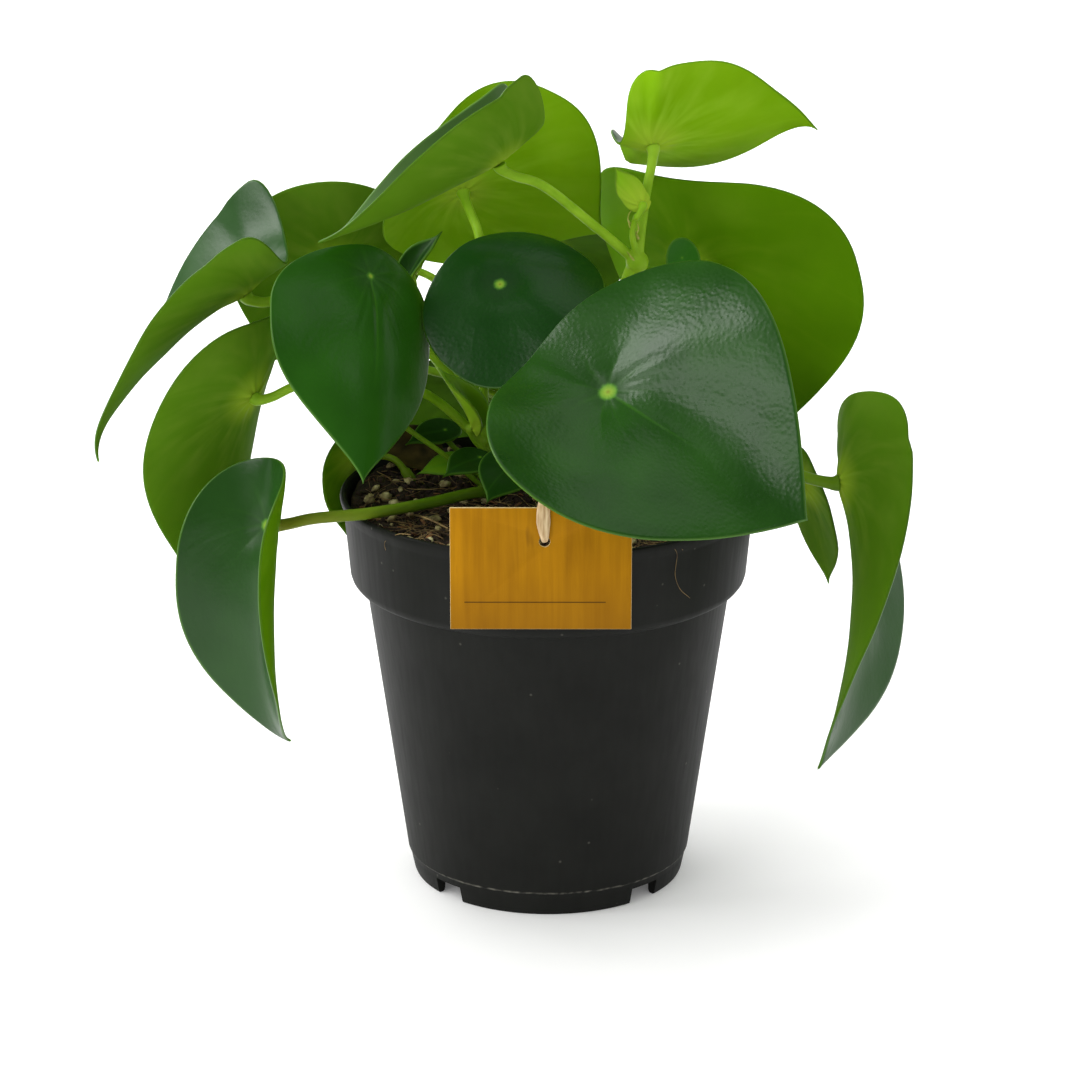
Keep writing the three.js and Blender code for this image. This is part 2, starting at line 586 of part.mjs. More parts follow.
function cardGeometry() {
  const outline = new THREE.Shape();
  outline.moveTo(-CARD_WIDTH / 2, CARD_BOTTOM);
  outline.lineTo(CARD_WIDTH / 2, CARD_BOTTOM);
  outline.lineTo(CARD_WIDTH / 2, CARD_TOP);
  outline.lineTo(-CARD_WIDTH / 2, CARD_TOP);
  outline.closePath();
  const hole = new THREE.Path();
  hole.absarc(CARD_HOLE_X - CARD_CENTRE_X, CARD_HOLE_HEIGHT, CARD_HOLE_RADIUS, 0, 2 * Math.PI, true);
  outline.holes.push(hole);
  return new THREE.ExtrudeGeometry(outline, { depth: CARD_THICK, bevelEnabled: false, curveSegments: 16 })
    .rotateX(Math.PI / 2)
    .translate(CARD_CENTRE_X, CARD_BACK_Y, 0);
}

// A flat band that closes on itself: each entry is the middle of the band, its half width and the
// way its width runs.
function loopGeometry(entries, thickness) {
  const curve = new THREE.CatmullRomCurve3(entries.map(([p]) => vec(p)), true, 'centripetal');
  const steps = entries.length * 3;
  const points = [];
  for (let i = 0; i < steps; i += 1) {
    const share = (i / steps) * entries.length;
    const near = entries[Math.floor(share)];
    const next = entries[(Math.floor(share) + 1) % entries.length];
    const half = THREE.MathUtils.lerp(near[1], next[1], share % 1);
    const at = curve.getPoint(i / steps);
    const tangent = curve.getTangent(i / steps);
    const across = vec(near[2]).lerp(vec(next[2]), share % 1).projectOnPlane(tangent).normalize();
    const out = across.clone().cross(tangent);
    for (const [a, b] of [[-1, -1], [1, -1], [1, 1], [-1, 1]]) {
      points.push(at.clone().addScaledVector(across, a * half).addScaledVector(out, (b * thickness) / 2));
    }
  }
  const faces = [];
  for (let i = 0; i < steps; i += 1) {
    const [here, there] = [4 * i, 4 * ((i + 1) % steps)];
    for (let k = 0; k < 4; k += 1) {
      const m = (k + 1) % 4;
      faces.push(here + k, there + m, here + m, here + k, there + k, there + m);
    }
  }
  const band = new THREE.BufferGeometry().setFromPoints(points);
  band.setIndex(faces);
  band.computeVertexNormals();
  return band;
}

const CARD_FRONT_Y = CARD_BACK_Y - CARD_THICK;
const RIBBON = [
  [[-1, CARD_BACK_Y - CARD_THICK / 2, 119.4], 1.2, [1, 0, 0]],
  [[-1, CARD_FRONT_Y - 0.7, 121], 1.6, [1, 0, 0]],
  [[-1.5, CARD_FRONT_Y - 0.7, 125], 2.5, [1, 0, 0]],
  [[-1, CARD_FRONT_Y - 0.3, 131], 2.3, [1, 0, 0]],
  [[4, -53, 140], 2, [1, 0.3, 0]],
  [[12, -39, 151], 1.5, [0.5, 0.9, 0]],
  [[13.6, -35.5, 155.5], 1.3, [0, 1, 0.3]],
  [[16.7, -34.5, 158.4], 1.3, [0, 1, 0.3]],
  [[19.8, -35.5, 155.5], 1.3, [0, 1, 0.3]],
  [[20, -39.5, 149.5], 1.5, [0.5, 0.9, 0]],
  [[8, -50, 136], 2, [1, 0.3, 0]],
  [[1, CARD_BACK_Y + 2.6, 125.5], 1.8, [1, 0, 0]],
  [[-1, CARD_BACK_Y + 0.9, 120.6], 1.3, [1, 0, 0]],
];

// ---- the whole ----------------------------------------------------------------------------------

const plant = new THREE.Group();
plant.position.copy(POT_AXIS);

function place(name, geometry, material) {
  const mesh = new THREE.Mesh(geometry, material);
  mesh.name = name;
  plant.add(mesh);
}

place('pot', potGeometry(), POT_BLACK);
place('soil', soilGeometry(), PEAT_BROWN);
for (const [name, stem] of Object.entries(STEMS)) place(name, stemGeometry(stem), STALK_GREEN);
for (const [name, frame] of Object.entries(frames)) {
  place(name, bladeGeometry(frame), YOUNG.has(name) ? YOUNG_GREEN : LEAF_GREEN);
}
place('label_card', cardGeometry(), CARD_AMBER);
place('label_ribbon', loopGeometry(RIBBON, RIBBON_THICK), RIBBON_CREAM);

const pottedPeperomia = new THREE.Group();
pottedPeperomia.add(plant);

export default pottedPeperomia;
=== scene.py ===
# A young peperomia in a 12 cm nursery pot with a hanging care label: the finish of every piece.
# Sizes are in millimetres from the pot's axis, as in the solids; `placed` turns them into the frame.

import math
import random

import bpy
import numpy as np
from mathutils import Matrix, Vector, noise


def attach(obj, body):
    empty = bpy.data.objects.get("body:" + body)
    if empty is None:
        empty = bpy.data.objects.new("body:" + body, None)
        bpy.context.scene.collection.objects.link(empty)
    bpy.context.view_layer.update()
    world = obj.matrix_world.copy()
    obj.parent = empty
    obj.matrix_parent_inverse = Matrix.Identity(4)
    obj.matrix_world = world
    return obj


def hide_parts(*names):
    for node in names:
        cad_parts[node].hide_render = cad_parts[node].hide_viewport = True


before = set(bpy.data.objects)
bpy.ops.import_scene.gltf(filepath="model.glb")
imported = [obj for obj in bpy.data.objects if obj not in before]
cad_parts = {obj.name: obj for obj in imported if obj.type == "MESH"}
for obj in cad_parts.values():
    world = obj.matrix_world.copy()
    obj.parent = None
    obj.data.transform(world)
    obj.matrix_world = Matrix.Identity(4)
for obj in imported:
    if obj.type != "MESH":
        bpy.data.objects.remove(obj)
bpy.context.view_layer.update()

# ---- nursery pot --------------------------------------------------------------------------------
# One moulding of black recycled polypropylene: collar, tapering wall, a floor with six drain holes
# and a foot ring with four notches. It comes off the mould satin, with a scuffed edge at the foot.

MM = 0.001
POT_AXIS = Vector((12, -4.5, 0)) * MM

POT_PROFILE = [
    (37.1, 6), (37.2, 1), (37.5, 0.3), (37.9, 0), (39.1, 0), (39.45, 0.2), (39.7, 0.8),
    (40.6, 5), (40.8, 6.7), (41.1, 7.1), (41.45, 7.5), (41.55, 8.2),
    (52.7, 88.2), (52.95, 88.9), (53.6, 89.3), (55.1, 89.55), (56.1, 90.1), (56.8, 91), (57.25, 92.4),
    (58.95, 111.3), (59.25, 112.2), (59.85, 114), (60, 114.8), (59.9, 115.35), (59.5, 115.7),
    (58.7, 115.7), (58.25, 115.4), (57.95, 114.6), (57.6, 112.7),
    (55.9, 92.9), (55.4, 91.7), (54.2, 91.1), (52.3, 90.9), (51.65, 90.3), (51.5, 89),
    (40.2, 9.2), (39.6, 7.9), (38.7, 7.3),
]
POT_SEGMENTS = 144
NOTCH = (10, 12, 10)
NOTCH_RADIUS = 39.6
NOTCH_ANGLES = [44, 134, 224, 314]
DRAIN_RADIUS = 4
DRAIN_CIRCLE = 27
DRAIN_HEIGHT = 6
DRAIN_ANGLES = [0, 60, 120, 180, 240, 300]
CUT_DEPTH = 6
RUBBED_HEIGHT = 7.3
POT_SMOOTH_UNDER = math.radians(32)


def placed(x, y, z):
    return Vector((x, y, z)) * MM + POT_AXIS


def linear(code):
    """An sRGB hex colour as the linear colour that the nodes take."""
    parts = [int(code[i:i + 2], 16) / 255 for i in (1, 3, 5)]
    return [*(c / 12.92 if c <= 0.04045 else ((c + 0.055) / 1.055) ** 2.4 for c in parts), 1]


def new_material(name):
    material = bpy.data.materials.new(name)
    material.use_nodes = True
    material.node_tree.nodes.clear()
    return material


def add(material, kind, inputs, stops=None, out=0, **settings):
    """Adds a node and gives back an output. Its inputs, by name or in order, are values or outputs;
    a MapRange takes the value, the two ends that it goes from and the two that it goes to."""
    tree = material.node_tree
    made = tree.nodes.new("ShaderNode" + kind)
    for name, value in settings.items():
        setattr(made, name, value)
    for i, (place, colour) in enumerate(stops or []):
        elements = made.color_ramp.elements
        element = elements[i] if i < 2 else elements.new(place)
        element.position = place
        element.color = linear(colour)
    for name, value in inputs.items() if isinstance(inputs, dict) else enumerate(inputs):
        if isinstance(value, bpy.types.NodeSocket):
            tree.links.new(value, made.inputs[name])
        else:
            made.inputs[name].default_value = value
    return made.outputs[out] if made.outputs else None


def surfaced(material, inputs):
    """Ends a material: its shader, with the inputs, is what shows."""
    shader = add(material, "BsdfPrincipled", inputs)
    add(material, "OutputMaterial", {"Surface": shader})


def hand_over(piece, node=None):
    """The piece rides with the object and stands for the node, whose part it hides."""
    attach(piece, "root")
    if node:
        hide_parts(node)


def alone(piece):
    """Selects one piece only and makes it the active one."""
    bpy.ops.object.select_all(action="DESELECT")
    piece.select_set(True)
    bpy.context.view_layer.objects.active = piece


def settle(piece):
    """Puts a piece's place into its mesh, so that its object sits at the origin."""
    alone(piece)
    bpy.ops.object.transform_apply(location=True, rotation=True, scale=True)


def apply_modifier(piece, kind, **settings):
    alone(piece)
    modifier = piece.modifiers.new(kind.title(), kind)
    for name, value in settings.items():
        setattr(modifier, name, value)
    bpy.ops.object.modifier_apply(modifier=modifier.name)


def turned(name, profile, segments):
    """A closed turned body: a disc is added, and each next radius and height pulls it on."""
    (radius, height), *rest = profile
    bpy.ops.object.select_all(action="DESELECT")
    bpy.ops.mesh.primitive_circle_add(vertices=segments, radius=radius * MM, fill_type="NGON",
                                      location=placed(0, 0, height))
    piece = bpy.context.object
    piece.name = piece.data.name = name
    bpy.ops.object.mode_set(mode="EDIT")
    bpy.ops.mesh.select_all(action="SELECT")
    for next_radius, next_height in rest:
        bpy.ops.mesh.extrude_region_move(
            TRANSFORM_OT_translate={"value": (0, 0, (next_height - height) * MM)})
        share = next_radius / radius
        bpy.ops.transform.resize(value=(share, share, 1), center_override=placed(0, 0, next_height))
        radius, height = next_radius, next_height
    bpy.ops.mesh.select_all(action="SELECT")
    bpy.ops.mesh.normals_make_consistent(inside=False)
    bpy.ops.object.mode_set(mode="OBJECT")
    settle(piece)
    return piece


pot = turned("nursery_pot", POT_PROFILE, POT_SEGMENTS)
cutters = []
for degrees in NOTCH_ANGLES:
    turn = Matrix.Rotation(math.radians(degrees), 4, "Z")
    bpy.ops.mesh.primitive_cube_add(size=1, location=placed(*(turn @ Vector((0, -NOTCH_RADIUS, 0)))),
                                    rotation=turn.to_euler(), scale=Vector(NOTCH) * MM)
    cutters.append(bpy.context.object)
for degrees in DRAIN_ANGLES:
    turn = Matrix.Rotation(math.radians(degrees), 4, "Z")
    bpy.ops.mesh.primitive_cylinder_add(vertices=32, radius=DRAIN_RADIUS * MM, depth=CUT_DEPTH * MM,
                                        location=placed(*(turn @ Vector(
                                            (DRAIN_CIRCLE, 0, DRAIN_HEIGHT)))))
    cutters.append(bpy.context.object)
for cutter in cutters:
    apply_modifier(pot, "BOOLEAN", object=cutter, operation="DIFFERENCE", solver="EXACT")
    bpy.data.objects.remove(cutter)
alone(pot)
bpy.ops.object.shade_smooth_by_angle(angle=POT_SMOOTH_UNDER)

# Recycled polypropylene, moulded: near black, satin, slightly cloudy from the regrind, with pale
# specks of dust, faint upright drag marks and a rubbed, paler line where the wall ends at the foot.
# A pattern's scale is one over its size in metres, here and in all the finishes below.
plastic = new_material("black recycled polypropylene")
spot = add(plastic, "TexCoord", {}, out="Object")
clouds = add(plastic, "TexNoise", {"Vector": spot, "Scale": 1 / 0.022, "Detail": 5, "Roughness": 0.6})
shades = add(plastic, "ValToRGB", {"Fac": clouds}, stops=[(0.3, "#10110e"), (0.72, "#181916")])
drawn = add(plastic, "Mapping", {"Vector": spot, "Scale": (1, 1, 0.02)})
marks = add(plastic, "TexNoise", {"Vector": drawn, "Scale": 1 / 0.0016, "Detail": 3})
dust = add(plastic, "TexVoronoi", {"Vector": spot, "Scale": 1 / 0.0075})
dusty = add(plastic, "MapRange", (dust, 0.03, 0.065, 0.3, 0))
height = add(plastic, "SeparateXYZ", {"Vector": spot}, out="Z")
off_edge = add(plastic, "Math", (height, RUBBED_HEIGHT * MM), operation="SUBTRACT")
off_edge = add(plastic, "Math", (off_edge,), operation="ABSOLUTE")
near_edge = add(plastic, "MapRange", (off_edge, 0.15 * MM, 0.5 * MM, 1, 0))
rubs = add(plastic, "TexNoise", {"Vector": spot, "Scale": 1 / 0.0024, "Detail": 4})
rubbed = add(plastic, "MapRange", (rubs, 0.42, 0.66))
rubbed = add(plastic, "Math", (rubbed, near_edge), operation="MULTIPLY")
pale = add(plastic, "Math", (rubbed, dusty), operation="MAXIMUM")
coloured = add(plastic, "Mix", {0: pale, 6: shades, 7: linear("#6a685f")}, data_type="RGBA", out=2)
gloss = add(plastic, "MapRange", (marks, 0.3, 0.7, 0.53, 0.6))
fine = add(plastic, "TexNoise", {"Vector": spot, "Scale": 1 / 0.0006, "Detail": 2})
grain = add(plastic, "Bump", {"Height": fine, "Strength": 0.12, "Distance": 0.05 * MM})
grain = add(plastic, "Bump", {"Height": marks, "Strength": 0.1, "Distance": 0.04 * MM,
                              "Normal": grain})
surfaced(plastic, {"Base Color": coloured, "IOR": 1.49, "Specular IOR Level": 0.14,
                   "Roughness": gloss, "Normal": grain})
pot.data.materials.append(plastic)
hand_over(pot, "pot")

# ---- potting soil -------------------------------------------------------------------------------
# Peat with perlite, bits of bark and root fibre, pressed into the pot to just below its lip. Its
# body is one turned form with a lumpy top that rises to the back; the loose grains lie in and on it.

FLOOR_TOP = 7.3
SOIL_EDGE = 56.8
SOIL_LEVEL = 108.5
SOIL_FRONT_RISE = 4
SOIL_BUMP = 0.9
SOIL_HEAP = 5
HEAP_FRONT = -22
HEAP_RUN = 34
LUMP_SIZE = 5
LUMP_HEIGHT = 1.1
LIP_RADIUS = 60
SOIL_SEGMENTS = 200
TOP_RINGS = 52
GRAIN_SHAPES = {
    "crumb": (0.28, [(1, 0.8, 0.6), (1, 1, 0.7), (1.3, 0.7, 0.5)]),
    "perlite": (0.26, [(1, 0.85, 0.75), (1.1, 0.9, 0.7), (0.9, 0.9, 0.8)]),
    "flake": (0.14, [(3.6, 1, 0.4), (2.6, 1.2, 0.45), (5, 0.6, 0.35)]),
}
LOOSE_EDGE = 55.2
FIBRES = 420
# The larger chips of perlite that are seen one by one.
CHIPS = [(-40.5, 10.3), (-50, 7.3), (-30.1, 11.3), (-44.3, -4.3), (-37.5, -1.4), (-47, 1.5)]
# Four roots that are seen one by one, with their radius at either end: a pale one on the soil, and
# hairs over the lip and down the collar.
ROOTS = [
    ([(-39.2, -17, 113.8), (-34, -22, 113.8), (-28.1, -29.6, 113.4)], 0.42, 0.3),
    ([(34, -49.3, 115), (35.5, -47.6, 112), (35.3, -47, 108.5), (35.1, -46.9, 105.5),
      (36.4, -45.6, 101.2), (39.5, -42.3, 97.2)], 0.1, 0.07),
    ([(34.8, -48.6, 114.4), (36.4, -46.9, 113.6), (37.2, -46.4, 112.6)], 0.14, 0.08),
    ([(-38, -44.6, 116.4), (-41, -43.4, 116.3), (-44, -39.9, 113.9), (-45.6, -37.9, 111.8),
      (-45.3, -37.8, 109.7)], 0.13, 0.08),
]

random.seed(4)


def eased(share):
    """A smooth step from 0 to 1 while the share goes from 0 to 1, and level beyond."""
    share = np.clip(share, 0, 1)
    return share * share * (3 - 2 * share)


def soil_height(x, y):
    """The height of the soil's top: the solid's even rise and dips, then the heap and the lumps."""
    rise = SOIL_FRONT_RISE * min(max(-y / LIP_RADIUS, 0), 1) ** 1.5
    bumps = SOIL_BUMP * math.sin(x * 0.31 + y * 0.17) * math.cos(y * 0.27 - x * 0.11)
    lumps = noise.fractal(Vector((x, y, 0)) / LUMP_SIZE, 0.7, 2.2, 4) * LUMP_HEIGHT
    calm = min(max((SOIL_EDGE - math.hypot(x, y)) / 3, 0), 1)
    heap = SOIL_HEAP * float(eased((y - HEAP_FRONT) / HEAP_RUN))
    return SOIL_LEVEL + rise + bumps + heap + lumps * calm


soil_profile = [
    (38, FLOOR_TOP + 0.3), (39.8, 9.6), (51.1, 89), (51.7, 91.4), (55.5, 93.3), (SOIL_EDGE, SOIL_LEVEL),
    *[(SOIL_EDGE * (1 - ring / TOP_RINGS), SOIL_LEVEL) for ring in range(1, TOP_RINGS)],
]
soil = turned("potting_soil", soil_profile, SOIL_SEGMENTS)
for vertex in soil.data.vertices:
    if vertex.co.z > (SOIL_LEVEL - 1) * MM:
        local = (vertex.co - POT_AXIS) / MM
        vertex.co.z = soil_height(local.x, local.y) * MM
alone(soil)
bpy.ops.object.shade_smooth()


def grain_of(size, roughness):
    """One loose grain: a cube rounded by a subdivision, its corners pushed in and out."""
    bpy.ops.object.select_all(action="DESELECT")
    bpy.ops.mesh.primitive_cube_add(size=MM)
    piece = bpy.context.object
    apply_modifier(piece, "SUBSURF", levels=1, render_levels=1, subdivision_type="CATMULL_CLARK")
    for vertex in piece.data.vertices:
        vertex.co *= 1.3 * random.uniform(1 - roughness, 1 + roughness)
        vertex.co *= Vector(size)
    return piece


def scattered(name, grains, count, size_range, lift, area):
    """Copies of the grains, turned and sized at random, laid on the soil and joined in one mesh."""
    points, faces = [], []
    for _ in range(count):
        grain = random.choice(grains).data
        x, y = area()
        turn = Matrix.Rotation(random.uniform(0, 2 * math.pi), 3, "Z")
        pitch = Matrix.Rotation(random.gauss(0, 0.5), 3, "X")
        roll = Matrix.Rotation(random.gauss(0, 0.3), 3, "Y")
        tilt = turn @ pitch @ roll
        size = random.uniform(*size_range)
        centre = placed(x, y, soil_height(x, y) + lift * size)
        first = len(points)
        points.extend(centre + tilt @ vertex.co * size for vertex in grain.vertices)
        faces.extend([first + i for i in polygon.vertices] for polygon in grain.polygons)
    mesh = bpy.data.meshes.new(name)
    mesh.from_pydata(points, [], faces)
    piece = bpy.data.objects.new(name, mesh)
    bpy.context.collection.objects.link(piece)
    alone(piece)
    bpy.ops.object.shade_smooth()
    return piece


def anywhere():
    reach, angle = LOOSE_EDGE * math.sqrt(random.random()), random.uniform(0, 2 * math.pi)
    return reach * math.cos(angle), reach * math.sin(angle)


shapes = {kind: [grain_of(size, roughness) for size in sizes]
          for kind, (roughness, sizes) in GRAIN_SHAPES.items()}
crumbs = scattered("peat_crumbs", shapes["crumb"], 2600, (0.6, 2.2), 0.1, anywhere)
perlite = scattered("perlite_grains", shapes["perlite"], 150, (0.9, 3), 0.3, anywhere)
bark = scattered("bark_flakes", shapes["flake"], 260, (0.5, 1.5), 0.2, anywhere)
chips = scattered("perlite_chips", shapes["perlite"], len(CHIPS), (2.6, 3.6), 0.35,
                  iter(CHIPS).__next__)
for shape in sum(shapes.values(), []):
    bpy.data.objects.remove(shape)


def curved_path(points, steps):
    """Points along the centripetal curve through the given ones, as the solids' stalks run."""
    points = [np.array(p, float) for p in points]
    points = [2 * points[0] - points[1], *points, 2 * points[-1] - points[-2]]
    path = []
    for a, b, c, d in zip(points, points[1:], points[2:], points[3:]):
        s0, s1, s2 = (max(np.linalg.norm(q - p), 1e-6) ** 0.5 for p, q in ((a, b), (b, c), (c, d)))
        m1 = ((b - a) / s0 - (c - a) / (s0 + s1) + (c - b) / s1) * s1
        m2 = ((c - b) / s1 - (d - b) / (s1 + s2) + (d - c) / s2) * s1
        for t in np.arange(steps) / steps:
            bow = (3 * (c - b) - 2 * m1 - m2) * t ** 2
            path.append(b + m1 * t + bow + (2 * (b - c) + m1 + m2) * t ** 3)
    path.append(points[-2])
    return path


def strand(path, radii, roundness):
    """A round strand as a curve along the path, with a radius at each of its points."""
    curve = bpy.data.curves.new("strand", "CURVE")
    curve.dimensions = "3D"
    curve.bevel_depth = MM
    curve.bevel_resolution = roundness
    curve.use_fill_caps = True
    line = curve.splines.new("POLY")
    line.points.add(len(path) - 1)
    for point, place, radius in zip(line.points, path, radii):
        point.co = (*placed(*place), 1)
        point.radius = radius
    return curve


def fibre(points, radius, tip_radius, steps=5):
    """A thin strand that thins to its far end."""
    path = curved_path(points, steps)
    return strand(path, np.linspace(radius, tip_radius, len(path)), 0)


def joined(name, curves):
    """Curves turned into meshes and joined into one piece."""
    parts = []
    bpy.ops.object.select_all(action="DESELECT")
    for curve in curves:
        part = bpy.data.objects.new(name, curve)
        bpy.context.collection.objects.link(part)
        part.select_set(True)
        parts.append(part)
    bpy.context.view_layer.objects.active = parts[0]
    bpy.ops.object.convert(target="MESH")
    bpy.ops.object.join()
    piece = bpy.context.object
    piece.name = piece.data.name = name
    settle(piece)
    return piece


def loose_fibre():
    """A root hair that lies on the soil in a slack curve."""
    x, y = anywhere()
    heading, length = random.uniform(0, 2 * math.pi), random.uniform(7, 20)
    points = []
    for _ in range(5):
        if math.hypot(x, y) > 55:
            break
        points.append((x, y, soil_height(x, y) + random.uniform(0.3, 1.4)))
        heading += random.gauss(0, 0.5)
        x += math.cos(heading) * length / 4
        y += math.sin(heading) * length / 4
    return points


fibre_paths = [path for path in (loose_fibre() for _ in range(FIBRES)) if len(path) > 2]
fibres = joined("root_fibres", [
    *(fibre(path, random.uniform(0.08, 0.2), 0.05, 3) for path in fibre_paths),
    *(fibre(*root) for root in ROOTS)])

# Moist peat: nearly black brown with redder fibres in it, and no gloss.
peat = new_material("moist peat")
spot = add(peat, "TexCoord", {}, out="Object")
tones = add(peat, "TexNoise", {"Vector": spot, "Scale": 1 / 0.0035, "Detail": 6, "Roughness": 0.7})
shades = add(peat, "ValToRGB", {"Fac": tones},
             stops=[(0.3, "#150e09"), (0.75, "#4d3522"), (0.52, "#2c1d12")])
rough = add(peat, "TexNoise", {"Vector": spot, "Scale": 1 / 0.0009, "Detail": 4})
relief = add(peat, "Bump", {"Height": rough, "Strength": 0.9, "Distance": 0.6 * MM})
surfaced(peat, {"Base Color": shades, "Roughness": 0.92, "Normal": relief})

# Perlite, a puffed volcanic glass: chalky, cream where peat dust has settled on it, finely pitted.
puffed = new_material("dusty perlite")
spot = add(puffed, "TexCoord", {}, out="Object")
tones = add(puffed, "TexNoise", {"Vector": spot, "Scale": 1 / 0.0022, "Detail": 4})
shades = add(puffed, "ValToRGB", {"Fac": tones},
             stops=[(0.3, "#5f5330"), (0.7, "#d0c698"), (0.5, "#9d9160")])
pits = add(puffed, "TexVoronoi", {"Vector": spot, "Scale": 1 / 0.0006})
relief = add(puffed, "Bump", {"Height": pits, "Strength": 0.5, "Distance": 0.2 * MM})
surfaced(puffed, {"Base Color": shades, "Roughness": 0.85, "Normal": relief})


def dry_skin(name, size, detail, stops, strength, depth, roughness, shine=0.5):
    """A dry finish: clouds of one size in metres, whose paler parts stand up by the depth in mm."""
    skin = new_material(name)
    spot = add(skin, "TexCoord", {}, out="Object")
    clouds = add(skin, "TexNoise", {"Vector": spot, "Scale": 1 / size, "Detail": detail})
    tones = add(skin, "ValToRGB", {"Fac": clouds}, stops=stops)
    relief = add(skin, "Bump", {"Height": clouds, "Strength": strength, "Distance": depth * MM})
    surfaced(skin, {"Base Color": tones, "Roughness": roughness, "Normal": relief,
                    "Specular IOR Level": shine})
    return skin


# Bark: dry, fibrous, from straw to rust brown.
bark_skin = dry_skin("dry bark", 0.004, 5, [(0.3, "#2b1a0e"), (0.7, "#9a6a3c"), (0.5, "#5d3b20")],
                     0.6, 0.3, 0.8)
# Root fibre: dry and straw coloured.
straw = dry_skin("dry root fibre", 0.006, 3, [(0.3, "#3e2a14"), (0.7, "#a58a55")], 0.4, 0.1, 0.7)

soil.data.materials.append(peat)
crumbs.data.materials.append(peat)
perlite.data.materials.append(puffed)
chips.data.materials.append(puffed)
bark.data.materials.append(bark_skin)
fibres.data.materials.append(straw)
hand_over(soil, "soil")
for piece in (crumbs, perlite, chips, bark, fibres):
    hand_over(piece)

# ---- leaves -------------------------------------------------------------------------------------
# Fleshy shield-shaped blades about 1.2 mm thick: the stalk meets each inside its outline, at a pale
# spot. The upper side is dark and waxy, the underside matt and yellow-green, the edge thin and pale.

